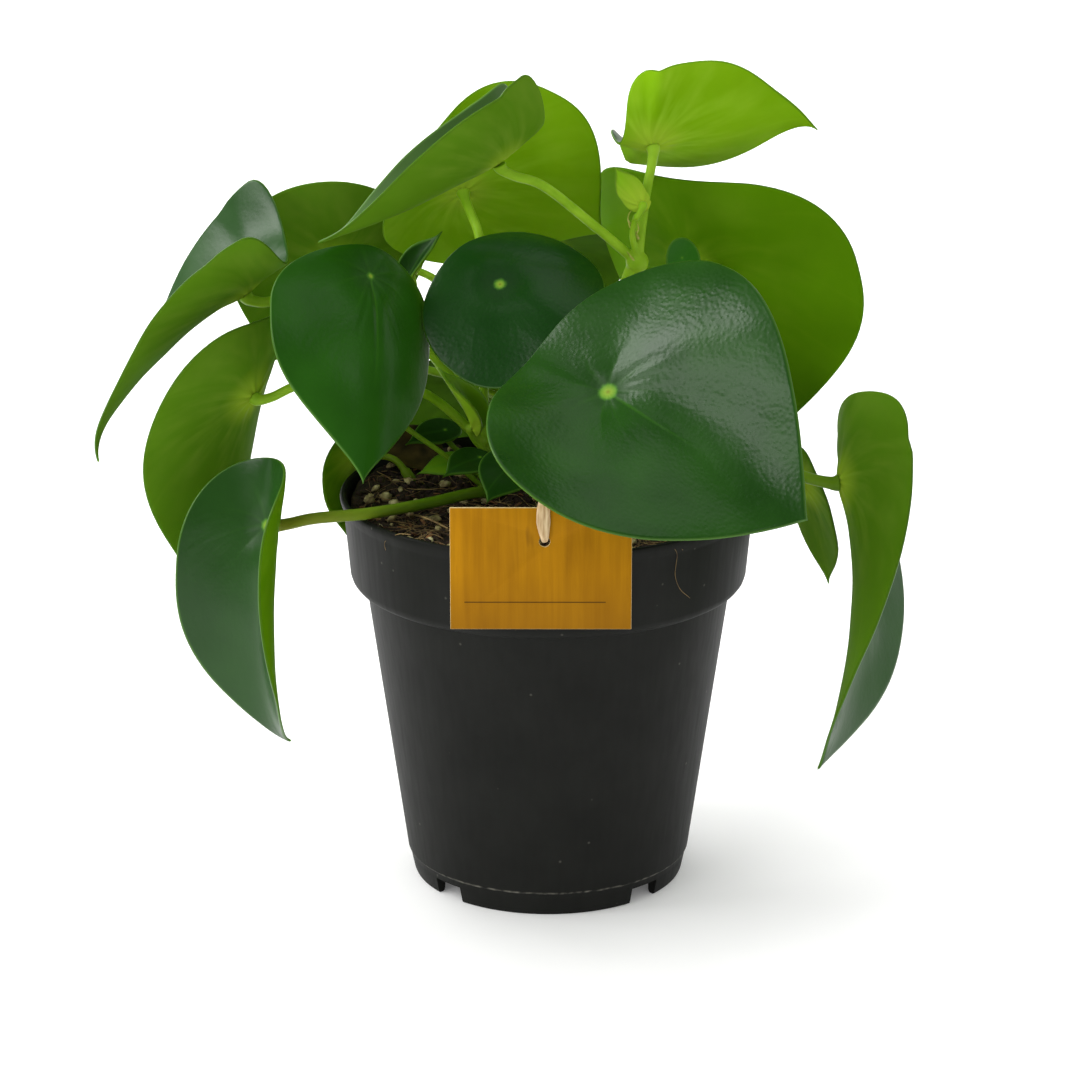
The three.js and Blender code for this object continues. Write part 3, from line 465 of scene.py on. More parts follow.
# `at` is the meeting point, `tip` the point and `face` the way the upper side looks; the rest bends,
# cups, folds and twists the blade, and shapes its outline, as in the solids. `ruffle` is the edge's
# wave as a share of its reach, turned by `ruffle_turn` degrees, and `groove` the depth of the veins
# above. A crease is its angle from the midrib, height, width and reach.
BLADE = dict(arch=10, back_arch=10, cup_left=10, cup_right=10, fold=0, fold_back=0, hook=0, twist=0,
             sway=0, widest=0.36, taper=1.25, point=0.9, lean=0, lobe=0, creases=(), ruffle=0.012,
             ruffle_turn=0, groove=0.16)
LEAVES = {
    "leaf_front": dict(
        at=(16, -51, 159.5), tip=(69.5, -84.5, 135), face=(0.1, -0.85, 0.5), width=94, back=25,
        arch=12, back_arch=-5, cup_left=-32, cup_right=22, fold=24, twist=20, sway=-2, widest=0.32,
        taper=1.25, point=0.55, lean=-0.02, lobe=-0.05,
        creases=((180, -0.5, 2.2, 20), (82, -0.4, 1.1, 26), (62, -0.3, 0.9, 24)), ruffle=0.03,
        ruffle_turn=110,
    ),
    "leaf_right": dict(
        at=(41.5, 22, 175.5), tip=(67.5, 47, 117.5), face=(0.6, 0.7, 0.35), width=102, back=29,
        arch=-22, back_arch=-15, cup_left=14, cup_right=20, fold=14, hook=-15, twist=-2, sway=-3,
        widest=0.36, taper=1.3, point=0.75, lean=0.02, lobe=0.3,
    ),
    "leaf_hanging_right": dict(
        at=(84.5, -8, 120.5), tip=(75, -44, 47), face=(1, 0.1, -0.05), width=70, back=27, arch=28,
        back_arch=-115, cup_left=18, cup_right=20, fold=20, fold_back=-15, hook=15, twist=32, sway=-1,
        widest=0.2, taper=1.7, point=0.65, lean=0.08, lobe=0.3,
    ),
    "leaf_top_round": dict(
        at=(-25, 30, 197.5), tip=(13.5, 48, 175), face=(0.1, 0.95, 0.35), width=70, back=21, arch=10,
        back_arch=40, cup_left=4, cup_right=32, fold=2, twist=14, sway=-7, widest=0.4, taper=1.45,
        point=0.8, lean=-0.08, lobe=0.05,
    ),
    "leaf_upper_left": dict(
        at=(-86.5, -5, 176), tip=(-128, -4, 125), face=(-0.75, 0, 0.7), width=66, back=16, arch=24,
        back_arch=15, cup_left=48, cup_right=38, fold=12, fold_back=5, hook=45, twist=14, widest=0.12,
        taper=1, point=0.75, lean=-0.08, lobe=0.3,
    ),
    "leaf_left": dict(
        at=(-84.5, -10, 147), tip=(-96.5, -8, 84.5), face=(-0.85, 0.5, 0.1), width=67, back=24.5,
        arch=26, back_arch=-40, cup_left=14, cup_right=40, fold=10, hook=15, twist=16, sway=5,
        widest=0.3, taper=1.45, point=0.85, lean=-0.06, lobe=0.3,
    ),
    "leaf_lower_left": dict(
        at=(-79, -35, 116), tip=(-71.5, -33.5, 51.5), face=(-0.7, -0.75, 0.1), width=50, back=19,
        arch=34, back_arch=5, cup_left=54, cup_right=46, fold=20, hook=45, sway=-2, widest=0.34,
        taper=1.35, point=0.7,
    ),
    "leaf_back_of_left": dict(
        at=(-63, 38.5, 172.5), tip=(-82.5, 45.5, 140.5), face=(-0.3, 0.9, 0.35), width=60, back=27,
        arch=-2, back_arch=-10, cup_left=20, cup_right=14, hook=-5, twist=-4, sway=0.5, widest=0.42,
        taper=1.45, point=0.75, lean=0.02,
    ),
    "leaf_front_left": dict(
        at=(-48.5, -28, 186), tip=(-50.5, -56.5, 134.5), face=(0.5, -0.9, 0.05), width=55, back=9,
        arch=22, back_arch=45, cup_left=-20, cup_right=-2, fold=-18, hook=-15, twist=8, widest=0.28,
        taper=1.4, point=0.75, lean=-0.04, lobe=0.05,
        creases=((0, -0.5, 1.3, 34), (335, -0.25, 1, 24), (25, -0.2, 1, 20), (180, -0.4, 1.2, 8)),
    ),
    "leaf_front_round": dict(
        at=(-13.5, -17, 181), tip=(14.5, -33, 160), face=(-0.1, -0.7, 0.75), width=56, back=17,
        arch=12, back_arch=20, cup_left=-30, cup_right=-10, fold=-10, twist=10, sway=-1.5, widest=0.4,
        taper=1.5, point=0.85, lean=0.02, lobe=0.15, groove=0.04,
    ),
    "leaf_top_left": dict(
        at=(-14.5, -5, 213.5), tip=(-60, -36.5, 196), face=(-0.2, 0, 1), width=45, back=16, arch=-12,
        back_arch=-25, cup_left=28, cup_right=78, fold=42, fold_back=10, twist=18, sway=-5,
        widest=0.12, taper=1.35, point=0.6, lean=0.16, lobe=0.35,
        creases=((160, 0.8, 1.5, 14), (120, 0.7, 1.6, 12), (70, 0.6, 1.6, 14), (30, 0.6, 1.6, 18)),
    ),
    "leaf_top_right": dict(
        at=(29, 5, 216.5), tip=(75.5, 18.5, 215.5), face=(0, 0.65, 0.8), width=49, back=9, arch=-14,
        back_arch=-25, cup_left=6, cup_right=50, fold=10, fold_back=40, hook=75, twist=-16, sway=-2.5,
        widest=0.32, taper=1.35, point=0.8, lean=-0.02, lobe=0.4,
    ),
    "leaf_small_right": dict(
        at=(75, 10, 115.5), tip=(84.5, 20, 79), face=(0.8, 0.55, 0.15), width=26, back=12, arch=2,
        back_arch=-5, cup_left=32, cup_right=-10, fold=-8, hook=-5, twist=-2, sway=2.5, widest=0.42,
        taper=1.35, point=0.85, lean=-0.02,
    ),
    "leaf_small_left": dict(
        at=(-57.5, 25, 120), tip=(-57.5, 27, 88), face=(-0.8, 0.5, 0.2), width=27, back=9,
    ),
    "leaf_narrow": dict(
        at=(-40.5, 8, 177), tip=(-30, 10, 189.5), face=(-0.5, -0.6, 0.6), width=10, back=4,
        cup_left=40, cup_right=40, fold=20,
    ),
    "leaf_young_top": dict(
        at=(26, -7, 201), tip=(18, -8.5, 212.5), face=(-0.6, 0.4, 0.7), width=9.5, back=2, arch=15,
        cup_left=30, cup_right=30, fold=30,
    ),
    "leaf_young_right": dict(
        at=(38, 4.5, 183), tip=(40, 6, 169), face=(0.2, -0.9, 0.3), width=10.5, back=6, cup_left=20,
        cup_right=20,
    ),
    "leaf_young_centre": dict(
        at=(-20, 1, 134), tip=(-31.5, -3, 153), face=(0.6, -0.5, 0.5), width=13, back=2, arch=15,
        cup_left=50, cup_right=50, fold=40,
    ),
    "leaf_low_round": dict(
        at=(-19.5, -5, 127.5), tip=(-30, -16, 124), face=(-0.2, -0.6, 0.8), width=12, back=4,
    ),
    "leaf_low_dark": dict(
        at=(-30, 16, 129.5), tip=(-41.5, 8, 126.5), face=(-0.2, -0.6, 0.8), width=11, back=5,
    ),
    "leaf_low_pale": dict(
        at=(-26, 7, 122.5), tip=(-38, 2, 119.5), face=(-0.2, -0.6, 0.8), width=9, back=4,
    ),
    "leaf_low_hidden": dict(
        at=(-43, -1, 137), tip=(-52, -6, 127), face=(-0.6, -0.3, 0.7), width=14, back=5,
    ),
    "leaf_low_front": dict(
        at=(-10.5, -15, 128), tip=(-17.5, -29, 120), face=(-0.2, -0.9, 0.3), width=16, back=6,
    ),
    "leaf_rear_left": dict(
        at=(-56, 60, 150), tip=(-62, 82, 108), face=(-0.35, 0.75, 0.5), width=40, back=15, arch=25,
        back_arch=25, cup_left=20, cup_right=20,
    ),
    "leaf_rear_centre": dict(
        at=(-3, 78, 170), tip=(-9, 104, 134), face=(0.1, 0.85, 0.6), width=62, back=18, arch=30,
        back_arch=30, cup_left=15, cup_right=15,
    ),
    "leaf_rear_right": dict(
        at=(52, 56, 156), tip=(70, 86, 118), face=(0.5, 0.7, 0.5), width=50, back=17, arch=25,
        back_arch=25, cup_left=20, cup_right=20,
    ),
    "leaf_rear_low": dict(
        at=(-19, 52, 134), tip=(-34, 84, 86), face=(-0.2, 0.85, 0.45), width=56, back=16, arch=25,
        back_arch=25, cup_left=15, cup_right=15,
    ),
}
# The blades' thickness and relief: half the thickness within and at the rim, the dip at the spot,
# the waves of the whole blade, the pleats under the spot and the veins' grooves.
BLADE_HALF = 0.6
RIM_HALF = 0.35
SPOT_DIMPLE = 1.2
SPOT_RADIUS = 6
BEND_STEPS = 48
SECTION_STEPS = 12
WAVE_SIZE = 15
WAVE_HEIGHT = 0.45
PLEAT_DEPTH = 0.3
PLEAT_RUN = 7
GROOVES = 9
GROOVE_WIDTH = 0.9
RUFFLES = 4
VEIN_BOW = 0.02
VEIN_UNEVEN = 0.35
RIM_RUN = 5
RING_CROWDING = 1.35
FOLD_EASE = 0.4
SMALL_WIDTH = 30
MAP_SPAN = 100


def half_width(t, leaf):
    before = np.sqrt(np.clip(1 - ((t - leaf["widest"]) / leaf["widest"]) ** 2, 0, 1))
    s = np.clip((t - leaf["widest"]) / (1 - leaf["widest"]), 0, 1)
    after = ((1 + np.cos(np.pi * s ** leaf["taper"])) / 2) ** leaf["point"]
    return np.where(t < leaf["widest"], before, after)


def unit(vector):
    return vector / np.linalg.norm(vector)


class Blade:
    """A leaf's middle surface: where a flat place on the blade lies in space."""

    def __init__(self, description):
        self.leaf = leaf = {**BLADE, **description}
        self.at = np.array(leaf["at"], float)
        reach = np.array(leaf["tip"], float) - self.at
        end_x, end_z = self.run(np.array([1.0]))
        self.length = np.linalg.norm(reach) / math.hypot(end_x[0], end_z[0])
        drop = math.atan2(-end_z[0], end_x[0])
        ahead = unit(reach)
        face = np.array(leaf["face"], float)
        up = unit(face - ahead * face.dot(ahead))
        self.side = np.cross(up, ahead)
        self.along = ahead * math.cos(drop) + up * math.sin(drop)
        self.normal = up * math.cos(drop) - ahead * math.sin(drop)

    def bend(self, s):
        leaf = self.leaf
        ahead = math.radians(leaf["arch"]) * s
        ahead = ahead + math.radians(leaf["hook"]) * np.clip((s - 0.7) / 0.3, 0, 1) ** 2
        return np.where(s < 0, math.radians(leaf["back_arch"]) * s, ahead)

    def run(self, s):
        steps = (np.arange(BEND_STEPS) + 0.5) / BEND_STEPS
        angles = self.bend(s[:, None] * steps)
        return np.cos(angles).mean(1) * s, -np.sin(angles).mean(1) * s

    def points(self, u, v):
        """The middle surface at `u` along the midrib and `v` across it, both in millimetres."""
        leaf, half, s = self.leaf, self.leaf["width"] / 2, u / self.length
        cup = np.radians(np.where(v > 0, leaf["cup_left"], leaf["cup_right"]))[:, None]
        behind = np.clip(-u / leaf["back"], 0, 1)
        behind = behind ** 0.7 * eased(behind / FOLD_EASE)
        fold = (math.radians(leaf["fold"]) + math.radians(leaf["fold_back"]) * behind)[:, None]
        w = v[:, None] * (np.arange(SECTION_STEPS) + 0.5) / SECTION_STEPS
        slope = cup * w / half + fold * np.tanh(w / (0.22 * half))
        across, rise = np.cos(slope).mean(1) * v, np.sin(slope).mean(1) * v
        rise = rise - SPOT_DIMPLE * np.exp(-(u ** 2 + v ** 2) / SPOT_RADIUS ** 2)
        twist = math.radians(leaf["twist"]) * s
        turned_across = across * np.cos(twist) - rise * np.sin(twist)
        turned_rise = across * np.sin(twist) + rise * np.cos(twist)
        x, z = self.run(s)
        angle = self.bend(s)
        return (self.at
                + np.outer(x * self.length + turned_rise * np.sin(angle), self.along)
                + np.outer(z * self.length + turned_rise * np.cos(angle), self.normal)
                + np.outer(turned_across + leaf["sway"] * s * s, self.side))

    def normals(self, u, v, step=0.2):
        along = self.points(u + step, v) - self.points(u - step, v)
        across = self.points(u, v + step) - self.points(u, v - step)
        normals = np.cross(along, across)
        return normals / np.linalg.norm(normals, axis=1)[:, None]

    def flat(self, angle, share):
        """The flat place at an angle round the blade and a share of the way out to its edge."""
        leaf, half = self.leaf, self.leaf["width"] / 2
        t = (1 - np.cos(angle)) / 2
        w = half * half_width(t, leaf)
        u = -leaf["back"] + t * (self.length + leaf["back"])
        u = u - leaf["lobe"] * w ** 2 / half * (1 - t) ** 3
        v = np.where(np.sin(angle) >= 0, w, -w) + leaf["lean"] * w
        return u * share, v * share


blades = {name: Blade(description) for name, description in LEAVES.items()}


def vein_angle(u, v, seed):
    """The angle at which the vein through a flat place leaves the spot: veins bow to the tip."""
    reach, angle = np.hypot(u, v), np.arctan2(v, u)
    ways = np.stack([np.cos(angle), np.sin(angle), reach / 60], 1)
    uneven = np.array([noise.noise(Vector(way) + seed) for way in ways])
    return angle + VEIN_BOW * reach * np.sin(angle) + VEIN_UNEVEN * uneven


def blade_relief(blade, u, v, way, seed, upper, edge_gap):
    """How far each flat place stands off the middle surface, on the upper side or below."""
    leaf, half, reach = blade.leaf, blade.leaf["width"] / 2, np.hypot(u, v)
    thick = RIM_HALF + (BLADE_HALF - RIM_HALF) * np.clip(edge_gap / RIM_RUN, 0, 1) ** 0.5
    thick = thick * np.sqrt(1 - (1 - np.clip(edge_gap / RIM_HALF, 0, 1)) ** 2)
    fade = np.clip((reach - 1) / 3, 0, 1) * np.clip((0.42 * half - reach) / (0.3 * half), 0, 1)
    beside = way * GROOVES / (2 * np.pi) + 0.5
    beside = np.abs(beside - np.floor(beside) - 0.5) * 2 * np.pi / GROOVES * reach
    groove = leaf["groove"] * np.exp(-(beside / GROOVE_WIDTH) ** 2) * fade
    pleat = PLEAT_DEPTH * np.cos(way * GROOVES) * np.clip(reach / 3, 0, 1) * np.exp(-reach / PLEAT_RUN)
    waves = np.array([noise.noise(Vector((a, b, 0)) / WAVE_SIZE + seed) for a, b in zip(u, v)])
    offset = np.where(upper, thick - groove, -thick - pleat)
    offset = offset + waves * WAVE_HEIGHT * np.clip(reach / 8, 0, 1)
    turn = RUFFLES * np.arctan2(v, u) + math.radians(leaf["ruffle_turn"])
    offset = offset + leaf["ruffle"] * reach * np.cos(turn) * np.clip(reach / 6, 0, 1)
    for degrees, rise, width, run in leaf["creases"]:
        turn = way - math.radians(degrees)
        aside = np.abs((turn + np.pi) % (2 * np.pi) - np.pi) * reach
        ease = np.clip(reach / 3, 0, 1) * np.clip(1 - reach / run, 0, 1)
        offset = offset + rise * np.exp(-(aside / width) ** 2) * ease
    return offset


def leaf_piece(name, blade, *skins):
    """A sphere whose rows become the rings of the blade: upper side, edge and underside."""
    spokes, rings = (48, 14) if blade.leaf["width"] < SMALL_WIDTH else (120, 34)
    bpy.ops.object.select_all(action="DESELECT")
    bpy.ops.mesh.primitive_uv_sphere_add(segments=spokes, ring_count=2 * rings, radius=1)
    piece = bpy.context.object
    piece.name = piece.data.name = name + "_blade"
    ball = np.array([vertex.co for vertex in piece.data.vertices])
    ring = np.arccos(np.clip(ball[:, 2], -1, 1)) / np.pi * 2 * rings
    upper = ring <= rings
    row = np.where(upper, ring, 2 * rings - ring) / rings
    share = np.clip(1 - (1 - row) ** RING_CROWDING, 0, 1)
    angle = np.pi + np.arctan2(-ball[:, 1], ball[:, 0]) % (2 * np.pi)
    u, v = blade.flat(angle, share)
    edge_gap = (1 - share) * blade.leaf["width"] / 2
    seed = Vector((7.3 * len(name), 3.1 * blade.at[0], blade.at[2]))
    way = vein_angle(u, v, seed)
    offset = blade_relief(blade, u, v, way, seed, upper, edge_gap)
    places = blade.points(u, v) + blade.normals(u, v) * offset[:, None]
    places = places * MM + np.array(POT_AXIS)
    piece.data.vertices.foreach_set("co", places.astype(np.float32).ravel())
    flat_map = piece.data.uv_layers[0]
    flat_map.name = "blade"
    corners = np.array([loop.vertex_index for loop in piece.data.loops])
    straight = np.stack([np.cos(way), np.sin(way)], 1) * np.hypot(u, v)[:, None]
    flat_map.data.foreach_set("uv", straight[corners].astype(np.float32).ravel() / MAP_SPAN + 0.5)
    edge = piece.data.attributes.new("edge_gap", "FLOAT", "POINT")
    edge.data.foreach_set("value", edge_gap.astype(np.float32))
    for skin in skins:
        piece.data.materials.append(skin)
    for polygon in piece.data.polygons:
        below = np.mean(ring[list(polygon.vertices)]) > rings
        polygon.material_index = int(below) * (len(skins) - 1)
    alone(piece)
    bpy.ops.object.shade_smooth()
    return piece


def blade_lines(skin):
    """A blade's flat map in mm: the place, its way along, across and out, its angle, and how far
    it is to the nearest of the main veins, which leave the spot like spokes."""
    flat = add(skin, "UVMap", {}, uv_map="blade")
    flat = add(skin, "VectorMath", (flat, (0.5, 0.5, 0)), operation="SUBTRACT")
    flat = add(skin, "VectorMath", (flat, (MAP_SPAN, MAP_SPAN, 0)), operation="MULTIPLY")
    along = add(skin, "SeparateXYZ", {"Vector": flat}, out="X")
    across = add(skin, "SeparateXYZ", {"Vector": flat}, out="Y")
    reach = add(skin, "VectorMath", (flat,), operation="LENGTH", out="Value")
    angle = add(skin, "Math", (across, along), operation="ARCTAN2")
    aside = add(skin, "Math", (angle, GROOVES / (2 * math.pi), 0.5), operation="MULTIPLY_ADD")
    aside = add(skin, "Math", (aside,), operation="FRACT")
    aside = add(skin, "Math", (aside, 0.5), operation="SUBTRACT")
    aside = add(skin, "Math", (aside,), operation="ABSOLUTE")
    aside = add(skin, "Math", (aside, reach), operation="MULTIPLY")
    return flat, along, across, reach, angle, aside


def rayed(skin, angle, reach, ways, rings, scale):
    """Noise that is drawn out into rays from the spot."""
    ways = add(skin, "Math", (angle, ways), operation="MULTIPLY")
    rings = add(skin, "Math", (reach, rings), operation="MULTIPLY")
    fan = add(skin, "CombineXYZ", {"X": ways, "Y": rings})
    return add(skin, "TexNoise", {"Vector": fan, "Scale": scale, "Detail": 2})


def hemmed(skin, colour, hem, near, far):
    """The colour with a hem along the blade's edge, between the two distances from it in mm."""
    gap = add(skin, "Attribute", {}, attribute_name="edge_gap", out="Fac")
    share = add(skin, "MapRange", (gap, near, far, 0.6, 0))
    return add(skin, "Mix", {0: share, 6: colour, 7: linear(hem)}, data_type="RGBA", out=2)


def waxy_side(name, deep, fresh, spot_size, midrib_share, shine, pebble):
    """The upper side of a blade: a pale spot, faint veins, pebbled cells and wax over them."""
    skin = new_material(name)
    spot = add(skin, "TexCoord", {}, out="Object")
    flat, along, across, reach, angle, aside = blade_lines(skin)
    veins = add(skin, "MapRange", (aside, 0.1, 1.1, 1, 0), interpolation_type="SMOOTHSTEP")
    fade = add(skin, "MapRange", (reach, 2, 16, midrib_share * 0.3, 0))
    veins = add(skin, "Math", (veins, fade), operation="MULTIPLY")
    beside = add(skin, "Math", (across,), operation="ABSOLUTE")
    midrib = add(skin, "MapRange", (beside, 0.15, 0.7, 1, 0), interpolation_type="SMOOTHSTEP")
    fade = add(skin, "MapRange", (along, 2, 34, midrib_share, 0))
    midrib = add(skin, "Math", (midrib, fade), operation="MULTIPLY")
    ahead = add(skin, "Math", (along, 1), operation="GREATER_THAN")
    midrib = add(skin, "Math", (midrib, ahead), operation="MULTIPLY")
    veins = add(skin, "Math", (veins, midrib), operation="MAXIMUM")
    clouds = add(skin, "TexNoise", {"Vector": spot, "Scale": 1 / 0.02, "Detail": 2})
    tones = add(skin, "ValToRGB", {"Fac": clouds}, stops=[(0.15, deep), (0.85, fresh)])
    veined = add(skin, "Mix", {0: veins, 6: tones, 7: linear("#4b8a18")}, data_type="RGBA", out=2)
    blur = add(skin, "TexNoise", {"Vector": flat, "Scale": 0.9, "Detail": 2})
    ragged = add(skin, "Math", (blur, 0.9, reach), operation="MULTIPLY_ADD")
    disc = add(skin, "MapRange", (ragged, spot_size - 0.3, spot_size + 1.1, 1, 0),
               interpolation_type="SMOOTHSTEP")
    inwards = add(skin, "MapRange", (reach, 0, spot_size))
    eye = add(skin, "ValToRGB", {"Fac": inwards},
              stops=[(0, "#767c1c"), (1, "#4f8a1c"), (0.35, "#7fa028")])
    eyed = add(skin, "Mix", {0: disc, 6: veined, 7: eye}, data_type="RGBA", out=2)
    domes = add(skin, "TexVoronoi", {"Vector": spot, "Scale": 1 / 0.0011, "Smoothness": 1},
                feature="SMOOTH_F1")
    relief = add(skin, "Bump", {"Height": domes, "Strength": pebble, "Distance": 0.15 * MM},
                 invert=True)
    wrinkles = rayed(skin, angle, reach, 3.5, 0.05, 1.6)
    calm = add(skin, "MapRange", (reach, 4, 14))
    wrinkles = add(skin, "Math", (wrinkles, calm), operation="MULTIPLY")
    relief = add(skin, "Bump", {"Height": wrinkles, "Strength": 0.4, "Distance": 0.22 * MM,
                                "Normal": relief})
    pores = add(skin, "TexNoise", {"Vector": spot, "Scale": 1 / 0.0005, "Detail": 2})
    relief = add(skin, "Bump", {"Height": pores, "Strength": 0.12, "Distance": 0.06 * MM,
                                "Normal": relief})
    gloss = add(skin, "MapRange", (clouds, 0.1, 0.9, 0.26, 0.34))
    dull = add(skin, "MapRange", (reach, 2, 7, 0.3, 0))
    gloss = add(skin, "Math", (gloss, dull), operation="ADD")
    surfaced(skin, {"Base Color": hemmed(skin, eyed, "#4f7a22", 0.1, 0.55), "Roughness": gloss,
                    "Normal": relief, "IOR": 1.42, "Specular IOR Level": shine})
    return skin


def matt_side(name, deep, fresh, vein):
    """The underside of a blade: pale rays and veins, mottled and matt; light comes through it."""
    skin = new_material(name)
    spot = add(skin, "TexCoord", {}, out="Object")
    *_, reach, angle, aside = blade_lines(skin)
    veins = add(skin, "MapRange", (aside, 0.1, 2.4, 0.07, 0), interpolation_type="SMOOTHSTEP")
    clouds = add(skin, "TexNoise", {"Vector": spot, "Scale": 1 / 0.024, "Detail": 2})
    tones = add(skin, "ValToRGB", {"Fac": clouds}, stops=[(0.15, deep), (0.85, fresh)])
    rays = add(skin, "MapRange", (rayed(skin, angle, reach, 2.4, 0.04, 1.5), 0.42, 0.72, 0, 0.5))
    fade = add(skin, "MapRange", (reach, 6, 40, 1, 0.15))
    rays = add(skin, "Math", (rays, fade), operation="MULTIPLY")
    veins = add(skin, "Math", (veins, rays), operation="MAXIMUM")
    veined = add(skin, "Mix", {0: veins, 6: tones, 7: linear(vein)}, data_type="RGBA", out=2)
    mottle = add(skin, "TexNoise", {"Vector": spot, "Scale": 1 / 0.006, "Detail": 3})
    mottle = add(skin, "MapRange", (mottle, 0.35, 0.7, 0, 0.22))
    mottled = add(skin, "Mix", {0: mottle, 6: veined, 7: linear(deep)}, data_type="RGBA", out=2)
    glow = add(skin, "MapRange", (reach, 1, 12, 0.85, 0), interpolation_type="SMOOTHSTEP")
    glowing = add(skin, "Mix", {0: glow, 6: mottled, 7: linear("#93b02e")}, data_type="RGBA", out=2)
    pores = add(skin, "TexNoise", {"Vector": spot, "Scale": 1 / 0.0011, "Detail": 3})
    relief = add(skin, "Bump", {"Height": pores, "Strength": 0.15, "Distance": 0.12 * MM})
    surfaced(skin, {"Base Color": hemmed(skin, glowing, "#3e5a1c", 0.2, 0.6), "Roughness": 0.6,
                    "Normal": relief, "IOR": 1.4, "Specular IOR Level": 0.01,
                    "Subsurface Weight": 0.25, "Subsurface Radius": (0.5, 1, 0.15),
                    "Subsurface Scale": 1.6 * MM})
    return skin


# Leaf skin from above: thick, water-filled cells under wax, darker and glossier as a leaf ages; the
# shaded skin's darker tones are painted shade, for small leaves in the shade of others. Each has its
# deeper and its fresher tone, the spot's radius in mm, and shares of midrib, shine and pebble.
dark_wax = waxy_side("waxy dark leaf", "#0f370a", "#16430d", 1.6, 0, 0.35, 0.35)
mature_wax = waxy_side("waxy leaf", "#1a400f", "#244f14", 1.8, 0.22, 0.45, 0.14)
front_wax = waxy_side("pebbled waxy leaf", "#153a09", "#24520f", 2.6, 0.22, 0.42, 0.5)
fresh_wax = waxy_side("waxy fresh leaf", "#164003", "#225605", 0.9, 0.25, 0.35, 0.25)
# Its pale grey-green tones are painted sheen: a painted reflection on the upper side of the leaf at the
# top left.
painted_sheen_wax = waxy_side("waxy leaf with painted sheen", "#4e6f38", "#60824a", 1.8, 0.22, 0.35, 0.14)
shoot_wax = waxy_side("waxy shoot leaf", "#1d5206", "#2b6a0c", 0.2, 0.1, 0.2, 0.15)
# Painted shade: darker tones for small leaves in the shade of others.
shade_wax = waxy_side("waxy shaded leaf", "#123009", "#1c420d", 0.5, 0.1, 0.12, 0.15)
young_wax = waxy_side("waxy young leaf", "#4f8208", "#74a01c", 0.6, 0.4, 0.3, 0.15)
# Leaf skin from below: soft and without wax. The sunlit and the brighter skins are paler and yellower
# with painted light, standing in for the light that comes through those blades, and the deep-set skin
# is darker with painted shade. Each has its deeper and its fresher tone and the tone of its veins.
olive_back = matt_side("olive leaf underside", "#467002", "#568308", "#6f9420")
# Painted light: paler, yellower tones, as if light came through the blade.
sunlit_back = matt_side("sunlit leaf underside", "#679506", "#7fae14", "#a0c83a")
# Painted light: somewhat paler tones, as if light came through the blade.
painted_light_back = matt_side("leaf underside with painted light", "#496f0e", "#598418", "#7a9a34")
young_back = matt_side("young leaf underside", "#6b9c10", "#86b020", "#a0c040")
# Painted shade: darker tones for undersides deep inside the plant.
painted_shade_back = matt_side("leaf underside with painted shade", "#2f5003", "#3d6208", "#4f7412")
FINISHES = [
    (front_wax, olive_back, ["leaf_front"]),
    (fresh_wax, olive_back, ["leaf_front_left"]),
    (dark_wax, olive_back, ["leaf_front_round"]),
    (mature_wax, olive_back, ["leaf_right", "leaf_lower_left", "leaf_small_left", "leaf_rear_left",
                              "leaf_rear_right"]),
    (mature_wax, sunlit_back, ["leaf_top_right", "leaf_top_round"]),
    (mature_wax, painted_light_back, ["leaf_upper_left", "leaf_left", "leaf_back_of_left",
                               "leaf_hanging_right", "leaf_small_right"]),
    (mature_wax, painted_shade_back, ["leaf_rear_centre", "leaf_rear_low"]),
    (painted_sheen_wax, painted_light_back, ["leaf_top_left"]),
    (shoot_wax, olive_back, ["leaf_young_right"]),
    (shade_wax, olive_back, ["leaf_narrow", "leaf_low_dark", "leaf_low_round", "leaf_low_front"]),
    (shade_wax, painted_shade_back, ["leaf_low_hidden"]),
    (young_wax, young_back, ["leaf_young_top", "leaf_young_centre", "leaf_low_pale"]),
]
finishes = {name: (upper, under) for upper, under, names in FINISHES for name in names}

for name, blade in blades.items():
    upper, under = finishes[name]
    piece = leaf_piece(name, blade, upper, under)
    hand_over(piece, name)

# A small leaf that died off: curled, brown and dry, it leans on the lip at the back of the soil.
WITHERED = dict(at=(-38, 28, 119), tip=(-53, 31, 120), face=(-0.2, -0.8, 0.5), width=16, back=7,
                arch=25, cup_left=40, cup_right=30, fold=12)
dead_skin = dry_skin("withered leaf", 0.004, 4, [(0.3, "#1c1a0a"), (0.7, "#453a18")], 0.6, 0.3, 0.7,
                     shine=0.1)
withered = leaf_piece("withered", Blade(WITHERED), dead_skin)
hand_over(withered)

# ---- stems and stalks ---------------------------------------------------------------------------
# Each stem grew as one piece with its leaf stalks: smooth, fleshy and round, thicker at the joints
# where stalks branch off, and flaring where they meet a blade. It stands in the soil.

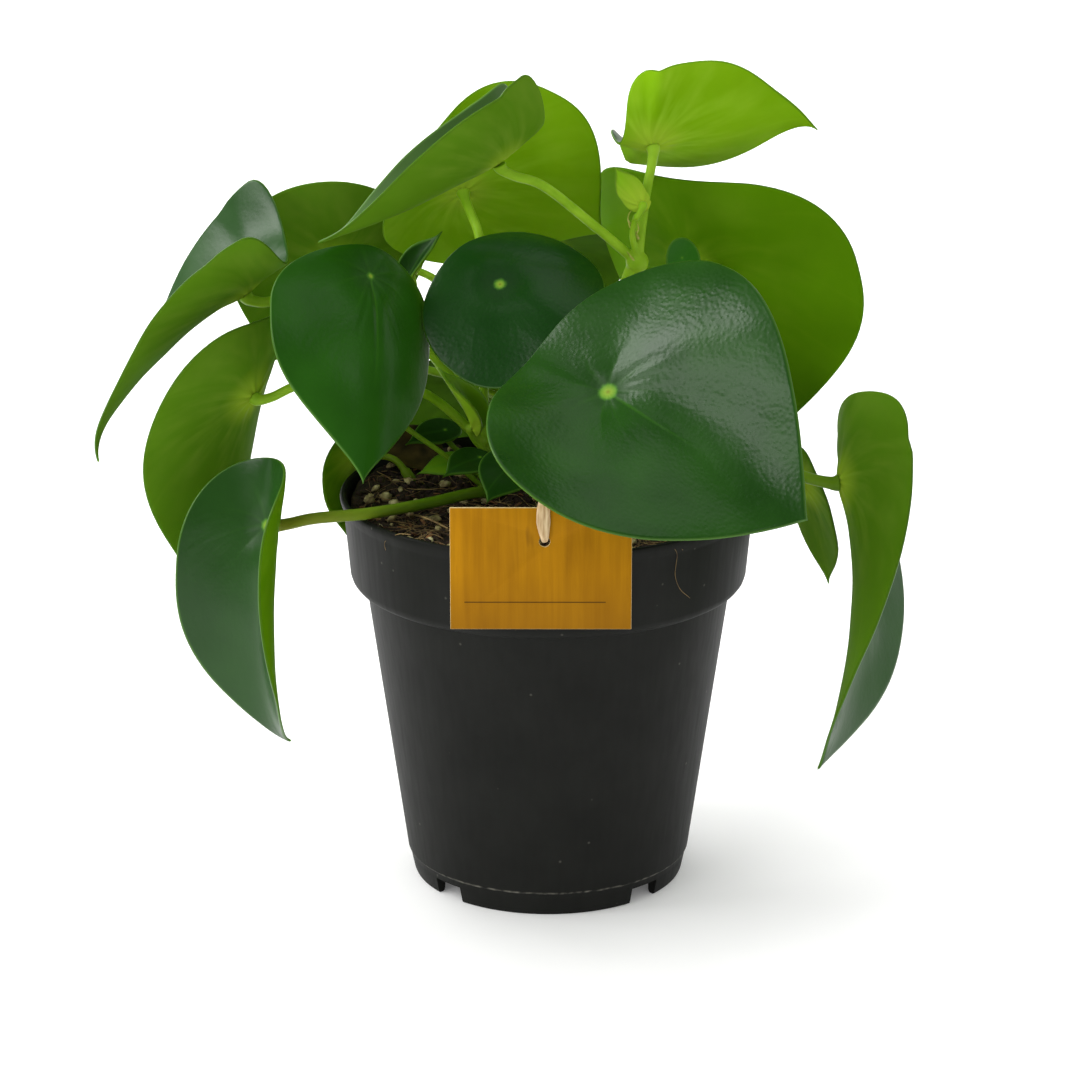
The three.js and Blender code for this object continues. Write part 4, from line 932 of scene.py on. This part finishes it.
STEMS = {
    "stem_centre": dict(
        base=[3, 8, 98.8],
        radius=2.7,
        trunk=[[3, 8, 112], [7, 8, 128], [11.5, 8, 140.5], [18, 4, 162], [25, -2, 183.5]],
        knots=[[[25, -2, 183.5], 3.3], [[11.5, 8, 140.5], 3.2]],
        stalks=[
            ["leaf_top_left", [[25, -2, 183.5], [12, -4, 195], [-2.5, -5, 206.5]], 1.4],
            ["leaf_top_right", [[25, -2, 183.5], [26, -2, 192.5], [27.5, 0, 203.5]], 1.4],
            ["leaf_young_top", [[25, -3, 185], [23.5, -5.5, 192], [24.5, -8, 198]], 0.9],
            ["leaf_young_right", [[20, 2, 168], [28, 8, 170], [35, 12, 176]], 0.9],
            ["leaf_right", [[18, 4, 162], [27, 7, 170], [34, 12, 173]], 1.5],
            ["leaf_front", [[9, 8, 134], [14, -8, 146], [16, -27, 153]], 1.6],
            ["leaf_front_round", [[6, 8, 124], [2, -2, 146], [-7, -10, 166]], 1.4],
        ],
    ),
    "stem_left": dict(
        base=[-16, 5, 98.8],
        radius=2.8,
        trunk=[[-16, 5, 112], [-17, 5, 120], [-18, 6, 129]],
        knots=[[[-18, 6, 129], 3.3]],
        stalks=[
            ["leaf_upper_left", [[-18, 6, 129], [-34, 4, 155.5], [-60, -4, 168.5],
                                 [-75, -5, 172.8]], 1.5],
            ["leaf_left", [[-18, 5, 128], [-36.5, 0, 145], [-59, -8, 150.5], [-71, -12, 150]], 1.4],
            ["leaf_front_left", [[-18, 7, 130], [-36, 8, 158], [-47, 2, 174]], 1.5],
            ["leaf_top_round", [[-18, 7, 129], [-19, 10, 155], [-19, 13, 180], [-20, 17, 187]], 1.4],
            ["leaf_back_of_left", [[-18, 7, 129], [-23, 18, 155], [-32, 25, 171], [-45, 24, 176]], 1.2],
            ["leaf_narrow", [[-18, 7, 129], [-30, 12, 150], [-38, 14, 165]], 0.9],
            ["leaf_young_centre", [[-17, 4, 122], [-18, 3, 126]], 0.9],
            ["leaf_lower_left", [[-16, 4, 113], [-20, -2, 115.5], [-34, -14, 116], [-51, -31, 118.2],
             [-66, -34.5, 117.8]], 1.7],
            ["leaf_low_round", [[-16, 4, 113], [-17, -1, 118]], 0.7],
            ["leaf_low_dark", [[-16, 5, 113], [-22, 15, 119]], 0.8],
            ["leaf_low_pale", [[-16, 5, 113], [-20, 9, 117]], 0.7],
            ["leaf_low_hidden", [[-16, 3, 113], [-22, 1, 119], [-31, 0, 127]], 0.8],
            ["leaf_low_front", [[-15, 4, 113], [-10, -3, 119]], 0.8],
        ],
    ),
    "stem_right": dict(
        base=[31, 8, 98.8],
        radius=2.4,
        trunk=[[31, 8, 113], [33, 7, 117]],
        knots=[],
        stalks=[
            ["leaf_hanging_right", [[31.5, 8, 114], [36, 5, 121], [55, 0, 124], [70, -5, 122]], 1.7],
            ["leaf_small_right", [[31.5, 8, 114], [40, 9, 119], [52, 8, 120], [61, 7, 119]], 1],
        ],
    ),
    "stem_rim": dict(
        base=[-40, 17, 98.8],
        radius=1.6,
        trunk=[[-40, 17, 113], [-42, 18, 116]],
        knots=[],
        stalks=[["leaf_small_left", [[-40.5, 17, 114], [-45, 19, 119]], 1]],
    ),
    "stem_rear": dict(
        base=[4, 28, 98.8],
        radius=2.8,
        trunk=[[4, 28, 112], [3, 30, 122], [2, 33, 131]],
        knots=[[[2, 33, 131], 3.2]],
        stalks=[
            ["leaf_rear_left", [[2, 33, 131], [-18, 33, 138], [-36, 35, 142], [-48, 45, 144]], 1.3],
            ["leaf_rear_centre", [[2, 33, 131], [2, 46, 148], [1, 62, 161]], 1.5],
            ["leaf_rear_right", [[3, 31, 127], [18, 44, 128], [37, 60, 130], [48, 62, 140]], 1.4],
            ["leaf_rear_low", [[2, 32, 125], [-8, 37, 130]], 1.3],
        ],
    ),
}
SOCKET_DEPTH = 10
STALK_APPROACH = 4
STALK_TURN = 0.15
BLADE_GAP = 0.3
STEM_PIXEL = 0.34


def stalk_end(blade, before, radius):
    """The last stretch of a stalk, as in the solids, and then on into the underside of the blade."""
    end = blade.at - blade.normal * (SPOT_DIMPLE + BLADE_HALF + BLADE_GAP)
    way = unit(unit(end - np.array(before, float)) + blade.normal * STALK_TURN)
    slant = math.sqrt(1 - min(max(way.dot(blade.normal), 0), 1) ** 2)
    end = end - blade.normal * radius * slant
    return [end - way * STALK_APPROACH, end, blade.at - blade.normal * (SPOT_DIMPLE + BLADE_HALF - 0.1)]


def stalk_radius(radius):
    """A stalk's radius along it: a third thicker at its foot, then even, then flaring to the blade."""
    def at(distance, length):
        foot = 0.35 * math.exp(-distance / 3)
        flare = 0.6 * math.exp(-(length - distance) / 1.6)
        return radius * (1 + foot + flare)
    return at


def stalk_strand(points, radius_at):
    path = curved_path(points, 10)
    steps = [np.linalg.norm(b - a) for a, b in zip(path, path[1:])]
    runs = np.concatenate([[0], np.cumsum(steps)])
    return strand(path, [radius_at(run, runs[-1]) for run in runs], 4)


def rounded_stem(name, stem):
    """One stem: a strand for the trunk and for each stalk, melted together and smoothed."""
    x, y, z = stem["base"]
    curves = [stalk_strand([stem["base"], (x, y, z + SOCKET_DEPTH), *stem["trunk"]],
                           lambda d, length: stem["radius"])]
    for leaf, points, radius in stem["stalks"]:
        curves.append(stalk_strand([*points, *stalk_end(blades[leaf], points[-1], radius)],
                                   stalk_radius(radius)))
    piece = joined(name + "_stalks", curves)
    for point, radius in stem["knots"]:
        bpy.ops.mesh.primitive_ico_sphere_add(subdivisions=3, radius=radius * MM,
                                              location=placed(*point))
        knot = bpy.context.object
        knot.select_set(True)
        piece.select_set(True)
        bpy.context.view_layer.objects.active = piece
        bpy.ops.object.join()
    apply_modifier(piece, "REMESH", mode="VOXEL", voxel_size=STEM_PIXEL * MM, use_smooth_shade=True)
    apply_modifier(piece, "SMOOTH", factor=0.5, iterations=4)
    settle(piece)
    bpy.ops.object.shade_smooth()
    return piece


# Leaf stalk: juicy and yellow-green, cloudy, darker lower down with painted shade from the leaves
# above, and tanned where the lowest one runs out over the lip at the left, with a soft gloss.
flesh = new_material("fleshy green stalk")
spot = add(flesh, "TexCoord", {}, out="Object")
clouds = add(flesh, "TexNoise", {"Vector": spot, "Scale": 1 / 0.009, "Detail": 4})
tones = add(flesh, "ValToRGB", {"Fac": clouds}, stops=[(0.3, "#6f9a14"), (0.7, "#92ba2c")])
height = add(flesh, "SeparateXYZ", {"Vector": spot}, out="Z")
# Painted shade: the lower the stalk, the darker, down among the leaves.
low = add(flesh, "MapRange", (height, 112 * MM, 150 * MM, 0.8, 0))
toned = add(flesh, "Mix", {0: low, 6: tones, 7: linear("#3c5a0a")}, data_type="RGBA", out=2)
outwards = add(flesh, "SeparateXYZ", {"Vector": spot}, out="X")
outer = add(flesh, "MapRange", (outwards, -58 * MM, -24 * MM, 1, 0))
lowest = add(flesh, "MapRange", (height, 118 * MM, 124 * MM, 0.9, 0))
tanned = add(flesh, "Math", (outer, lowest), operation="MULTIPLY")
toned = add(flesh, "Mix", {0: tanned, 6: toned, 7: linear("#7b8426")}, data_type="RGBA", out=2)
cells = add(flesh, "TexNoise", {"Vector": spot, "Scale": 1 / 0.0008, "Detail": 3})
relief = add(flesh, "Bump", {"Height": cells, "Strength": 0.15, "Distance": 0.1 * MM})
surfaced(flesh, {"Base Color": toned, "Roughness": 0.38, "Normal": relief, "IOR": 1.42,
                 "Specular IOR Level": 0.12, "Subsurface Weight": 0.3,
                 "Subsurface Radius": (0.6, 1, 0.2), "Subsurface Scale": 1.5 * MM})

for name, stem in STEMS.items():
    piece = rounded_stem(name, stem)
    piece.data.materials.append(flesh)
    hand_over(piece, name)

# Dry scales at the upper joint: a spur, and three curled, papery leftovers of the bud's cover. Each
# is its course and its radius at either end.
SCALES = [
    ([(24.4, -4.5, 184.2), (23.2, -4.8, 185.6), (22, -5, 187.2)], 0.42, 0.1),
    ([(25.2, -3.6, 190.5), (23.9, -5, 193.4), (22.8, -6.4, 194.6), (22.2, -6.8, 196.6)], 0.55, 0.18),
    ([(23.2, -6.2, 195.2), (22.2, -7.2, 196.8), (22.6, -7.4, 198.8), (23.6, -6.8, 199.6)], 0.3, 0.12),
    ([(24.6, -5.4, 192.4), (25.2, -6.6, 194), (24.8, -6.8, 195.8)], 0.34, 0.1),
]
scales = joined("stem_scales", [fibre(*scale) for scale in SCALES])
papery = dry_skin("dry bud scale", 0.0018, 3, [(0.3, "#6f7c1e"), (0.7, "#c0b46a"), (0.5, "#98a236")],
                  0.4, 0.1, 0.7)
scales.data.materials.append(papery)
hand_over(scales)

# ---- care label ---------------------------------------------------------------------------------
# A plain card with rounded cut edges, printed amber like planed wood, with one thin rule line. It
# leans on the lip and hangs from a satin ribbon through its punched hole. It bears no words.

CARD_WIDTH = 49.5
CARD_BOTTOM = 94.6
CARD_TOP = 129.4
CARD_THICK = 0.8
CARD_CENTRE_X = -2
CARD_BACK_Y = -60.3
HOLE_X = -1
HOLE_HEIGHT = 119.8
HOLE_RADIUS = 1.5
RULE_HEIGHT = 102.4
RULE_LEFT = -22.9
RULE_RIGHT = 15.7
RULE_THICK = 0.35
CARD_ROUNDING = 0.14
CARD_SMOOTH_UNDER = math.radians(30)
BROWNER_RUN = 16

card_middle_y = CARD_BACK_Y - CARD_THICK / 2
bpy.ops.mesh.primitive_cube_add(
    size=1, location=placed(CARD_CENTRE_X, card_middle_y, (CARD_BOTTOM + CARD_TOP) / 2),
    scale=Vector((CARD_WIDTH, CARD_THICK, CARD_TOP - CARD_BOTTOM)) * MM)
card = bpy.context.object
card.name = card.data.name = "care_card"
settle(card)
bpy.ops.mesh.primitive_cylinder_add(vertices=48, radius=HOLE_RADIUS * MM, depth=CUT_DEPTH * MM,
                                    location=placed(HOLE_X, card_middle_y, HOLE_HEIGHT),
                                    rotation=(math.pi / 2, 0, 0))
punch = bpy.context.object
apply_modifier(card, "BOOLEAN", object=punch, operation="DIFFERENCE", solver="EXACT")
bpy.data.objects.remove(punch)
apply_modifier(card, "BEVEL", width=CARD_ROUNDING * MM, segments=3, limit_method="ANGLE")
alone(card)
bpy.ops.object.shade_smooth_by_angle(angle=CARD_SMOOTH_UNDER)

# Printed card: an amber print of upright wood grain with a few knots, browner towards its bottom,
# with a little gloss from varnish.
print_skin = new_material("printed amber card")
spot = add(print_skin, "TexCoord", {}, out="Object")
fine_run = add(print_skin, "Mapping", {"Vector": spot, "Scale": (1, 1, 0.05)})
grain = add(print_skin, "TexNoise", {"Vector": fine_run, "Scale": 1 / 0.0022, "Detail": 5,
                                     "Roughness": 0.65, "Distortion": 0.4})
wide_run = add(print_skin, "Mapping", {"Vector": spot, "Scale": (1, 1, 0.3)})
bands = add(print_skin, "TexNoise", {"Vector": wide_run, "Scale": 1 / 0.013, "Detail": 3})
tones = add(print_skin, "ValToRGB", {"Fac": grain}, stops=[(0.28, "#875800"), (0.7, "#bb8004")])
broad = add(print_skin, "ValToRGB", {"Fac": bands}, stops=[(0.3, "#966400"), (0.7, "#c48a08")])
wood = add(print_skin, "Mix", {0: 0.5, 6: tones, 7: broad}, data_type="RGBA", out=2)
blots = add(print_skin, "TexNoise", {"Vector": wide_run, "Scale": 1 / 0.0042, "Detail": 2})
knots = add(print_skin, "MapRange", (blots, 0.69, 0.8, 0, 0.5))
knotted = add(print_skin, "Mix", {0: knots, 6: wood, 7: linear("#5a3a0c")}, data_type="RGBA", out=2)
# Browner and darker towards the card's bottom.
height = add(print_skin, "SeparateXYZ", {"Vector": spot}, out="Z")
low = add(print_skin, "MapRange", (height, CARD_BOTTOM * MM, (CARD_BOTTOM + BROWNER_RUN) * MM, 0.55, 0.1))
browner_below = add(print_skin, "Mix", {0: low, 6: knotted, 7: linear("#7a500a")}, data_type="RGBA", out=2)
normal = add(print_skin, "NewGeometry", {}, out="Normal")
facing = add(print_skin, "SeparateXYZ", {"Vector": normal}, out="Y")
ruled = add(print_skin, "Math", (facing, -0.5), operation="LESS_THAN")
rule_middle = placed((RULE_LEFT + RULE_RIGHT) / 2, 0, RULE_HEIGHT)
for axis, middle, half in (("X", rule_middle.x, (RULE_RIGHT - RULE_LEFT) / 2 * MM),
                           ("Z", rule_middle.z, RULE_THICK / 2 * MM)):
    away = add(print_skin, "SeparateXYZ", {"Vector": spot}, out=axis)
    away = add(print_skin, "Math", (away, middle), operation="SUBTRACT")
    away = add(print_skin, "Math", (away,), operation="ABSOLUTE")
    on_rule = add(print_skin, "Math", (away, half), operation="LESS_THAN")
    ruled = add(print_skin, "Math", (ruled, on_rule), operation="MULTIPLY")
ruled = add(print_skin, "Math", (ruled, 0.8), operation="MULTIPLY")
printed = add(print_skin, "Mix", {0: ruled, 6: browner_below, 7: linear("#3a2408")}, data_type="RGBA", out=2)
relief = add(print_skin, "Bump", {"Height": grain, "Strength": 0.1, "Distance": 0.1 * MM})
surfaced(print_skin, {"Base Color": printed, "Roughness": 0.55, "Normal": relief,
                      "Specular IOR Level": 0.08})

# Cut card: the pale, slightly fuzzy pulp that shows along the edges.
pulp = dry_skin("cut card edge", 0.0006, 4, [(0.3, "#c4a467"), (0.7, "#e2cf9f")], 0.4, 0.1, 0.85)
card.data.materials.append(print_skin)
card.data.materials.append(pulp)
for polygon in card.data.polygons:
    polygon.material_index = int(abs(polygon.normal.y) < 0.9)
hand_over(card, "label_card")

# The ribbon is a satin loop: up over the card's top edge, round the front leaf's stalk, and back
# down behind the card. Each entry is the middle of the band, its half width and its direction.
RIBBON = [
    ((-1, -60.7, 119.6), 0.7, (1, 0, 0)),
    ((-1, -61.8, 121), 1.1, (1, 0, 0)),
    ((-1.3, -61.8, 125.4), 1.95, (1, 0, 0)),
    ((-1, -61.4, 131), 1.7, (1, 0, 0)),
    ((4, -53, 140), 2, (1, 0.3, 0)),
    ((12, -39, 151), 1.5, (0.5, 0.9, 0)),
    ((13.6, -35.5, 155.5), 1.3, (0, 1, 0.3)),
    ((16.7, -34.5, 158.4), 1.3, (0, 1, 0.3)),
    ((19.8, -35.5, 155.5), 1.3, (0, 1, 0.3)),
    ((20, -39.5, 149.5), 1.5, (0.5, 0.9, 0)),
    ((8, -50, 136), 2, (1, 0.3, 0)),
    ((1, -57.7, 125.5), 1.8, (1, 0, 0)),
    ((-1, -59.4, 120.4), 0.8, (1, 0, 0)),
]
RIBBON_THICK = 0.4
ACROSS = 8
BAND_STEPS = 8


def band(entries):
    """A closed band along a smooth loop, hollowed a little along one side by a soft crease."""
    count = len(entries)
    path = curved_path([entries[i % count][0] for i in range(-1, count + 2)], BAND_STEPS)
    path = path[BAND_STEPS:BAND_STEPS * (count + 1)]
    steps = len(path)
    bpy.ops.mesh.primitive_torus_add(major_segments=steps, minor_segments=2 * ACROSS,
                                     major_radius=1, minor_radius=0.25)
    piece = bpy.context.object
    for i in range(steps):
        near, next_one = entries[i // BAND_STEPS], entries[(i // BAND_STEPS + 1) % count]
        share = i % BAND_STEPS / BAND_STEPS
        half = near[1] + (next_one[1] - near[1]) * share
        tangent = unit(path[(i + 1) % steps] - path[i - 1])
        across = np.array(near[2]) * (1 - share) + np.array(next_one[2]) * share
        across = unit(across - tangent * across.dot(tangent))
        out = np.cross(across, tangent)
        for k in range(2 * ACROSS):
            angle = math.pi * k / ACROSS
            wide = math.copysign(abs(math.cos(angle)) ** 0.6, math.cos(angle))
            spread = wide * half
            crease = 0.12 * math.cos(3.2 * wide + 0.4) * half
            deep = math.sin(angle) * RIBBON_THICK / 2 + crease * 0.6
            place = path[i] + across * spread + out * deep
            piece.data.vertices[i * 2 * ACROSS + k].co = placed(*place)
    return piece


ribbon = band(RIBBON)
ribbon.name = ribbon.data.name = "satin_ribbon"
alone(ribbon)
bpy.ops.object.mode_set(mode="EDIT")
bpy.ops.mesh.select_all(action="SELECT")
bpy.ops.mesh.normals_make_consistent(inside=False)
bpy.ops.object.mode_set(mode="OBJECT")
bpy.ops.object.shade_smooth()

# Satin: cream polyester threads that run along the band, shiny along and dull across.
satin = new_material("cream satin")
spot = add(satin, "TexCoord", {}, out="Object")
run = add(satin, "Mapping", {"Vector": spot, "Scale": (1, 1, 0.12)})
threads = add(satin, "TexNoise", {"Vector": run, "Scale": 1 / 0.0007, "Detail": 3})
tones = add(satin, "ValToRGB", {"Fac": threads}, stops=[(0.3, "#a5804e"), (0.7, "#e0c69a")])
relief = add(satin, "Bump", {"Height": threads, "Strength": 0.4, "Distance": 0.15 * MM})
surfaced(satin, {"Base Color": tones, "Roughness": 0.38, "Normal": relief, "Sheen Weight": 0.3})
ribbon.data.materials.append(satin)
hand_over(ribbon, "label_ribbon")

# ---- studio -------------------------------------------------------------------------------------
# A plain pale floor under large soft lamps, and the photograph's camera: a long lens a metre away,
# a little above the plant.

bpy.ops.mesh.primitive_plane_add(size=14, location=(0, 0, 0))
floor = bpy.context.object
floor.name = "studio_floor"

# Background paper: a matt white roll with barely visible clouds of fibre, lit so that it stays white;
# it also glows faintly of itself, painted light that lifts the shadows on it.
paper = new_material("white studio paper")
spot = add(paper, "TexCoord", {}, out="Object")
clouds = add(paper, "TexNoise", {"Vector": spot, "Scale": 1 / 0.03, "Detail": 3})
tones = add(paper, "ValToRGB", {"Fac": clouds}, stops=[(0.3, "#f4f4f3"), (0.7, "#f8f8f7")])
surfaced(paper, {"Base Color": tones, "Roughness": 0.9, "Emission Color": (1, 1, 1, 1),
                 "Emission Strength": 0.1})
floor.data.materials.append(paper)


def lamp(name, around, above, reach, size, power, target=(0, 0, 0.14), spread=180):
    """A softbox at an angle round from the front and above the floor, turned to the target."""
    around, above = math.radians(around), math.radians(above)
    way = Vector((math.sin(around) * math.cos(above), -math.cos(around) * math.cos(above),
                  math.sin(above)))
    light = bpy.data.lights.new(name, "AREA")
    light.shape = "RECTANGLE"
    light.size, light.size_y = size
    light.energy = power
    light.spread = math.radians(spread)
    lit = bpy.data.objects.new(name, light)
    bpy.context.collection.objects.link(lit)
    lit.location = Vector(target) + way * reach
    lit.rotation_euler = (-way).to_track_quat("-Z", "Y").to_euler()
    return lit


# Each lamp's way round and height in degrees, its distance and size in metres, and its watts.
lamp("left_softbox", -82, 42, 1.3, (0.7, 0.5), 8.5)
lamp("low_left_softbox", -46, 25, 1.4, (0.8, 0.3), 4)
lamp("right_softbox", 27, 40, 1.4, (0.3, 0.25), 0.45)
lamp("high_softbox", -32, 64, 1.4, (0.35, 0.25), 0.35)
lamp("rear_left_softbox", -140, 30, 1.4, (0.8, 0.5), 3)
lamp("top_softbox", 120, 72, 1.3, (0.8, 0.8), 1.6)
for name, around in (("rear_band", 180), ("left_band", -112), ("right_band", 112)):
    band_light = lamp(name, around, 12, 1.8, (2.2, 0.6), 4.5)
    band_light.visible_camera = False
backdrop_light = lamp("back_softbox", 180, 80, 1.7, (2.4, 1.4), 12, target=(0, 1.1, 0), spread=80)
backdrop_light.visible_glossy = False
world = bpy.data.worlds.new("studio air")
bpy.context.scene.world = world
world.use_nodes = True
world.node_tree.nodes["Background"].inputs["Color"].default_value = (1, 1, 1, 1)
world.node_tree.nodes["Background"].inputs["Strength"].default_value = 0.72
world.cycles_visibility.glossy = False

CAMERA_PLACE = (12, -995.3, 422)
CAMERA_TILT = 72.02
CAMERA_TURN = 0.138
view = bpy.data.cameras.new("camera")
view.lens = 120
view.sensor_width = 36
camera = bpy.data.objects.new("camera", view)
bpy.context.collection.objects.link(camera)
camera.location = Vector(CAMERA_PLACE) * MM
camera.rotation_euler = (math.radians(CAMERA_TILT), 0, math.radians(CAMERA_TURN))
bpy.context.scene.camera = camera
bpy.context.scene.view_settings.view_transform = "Standard"
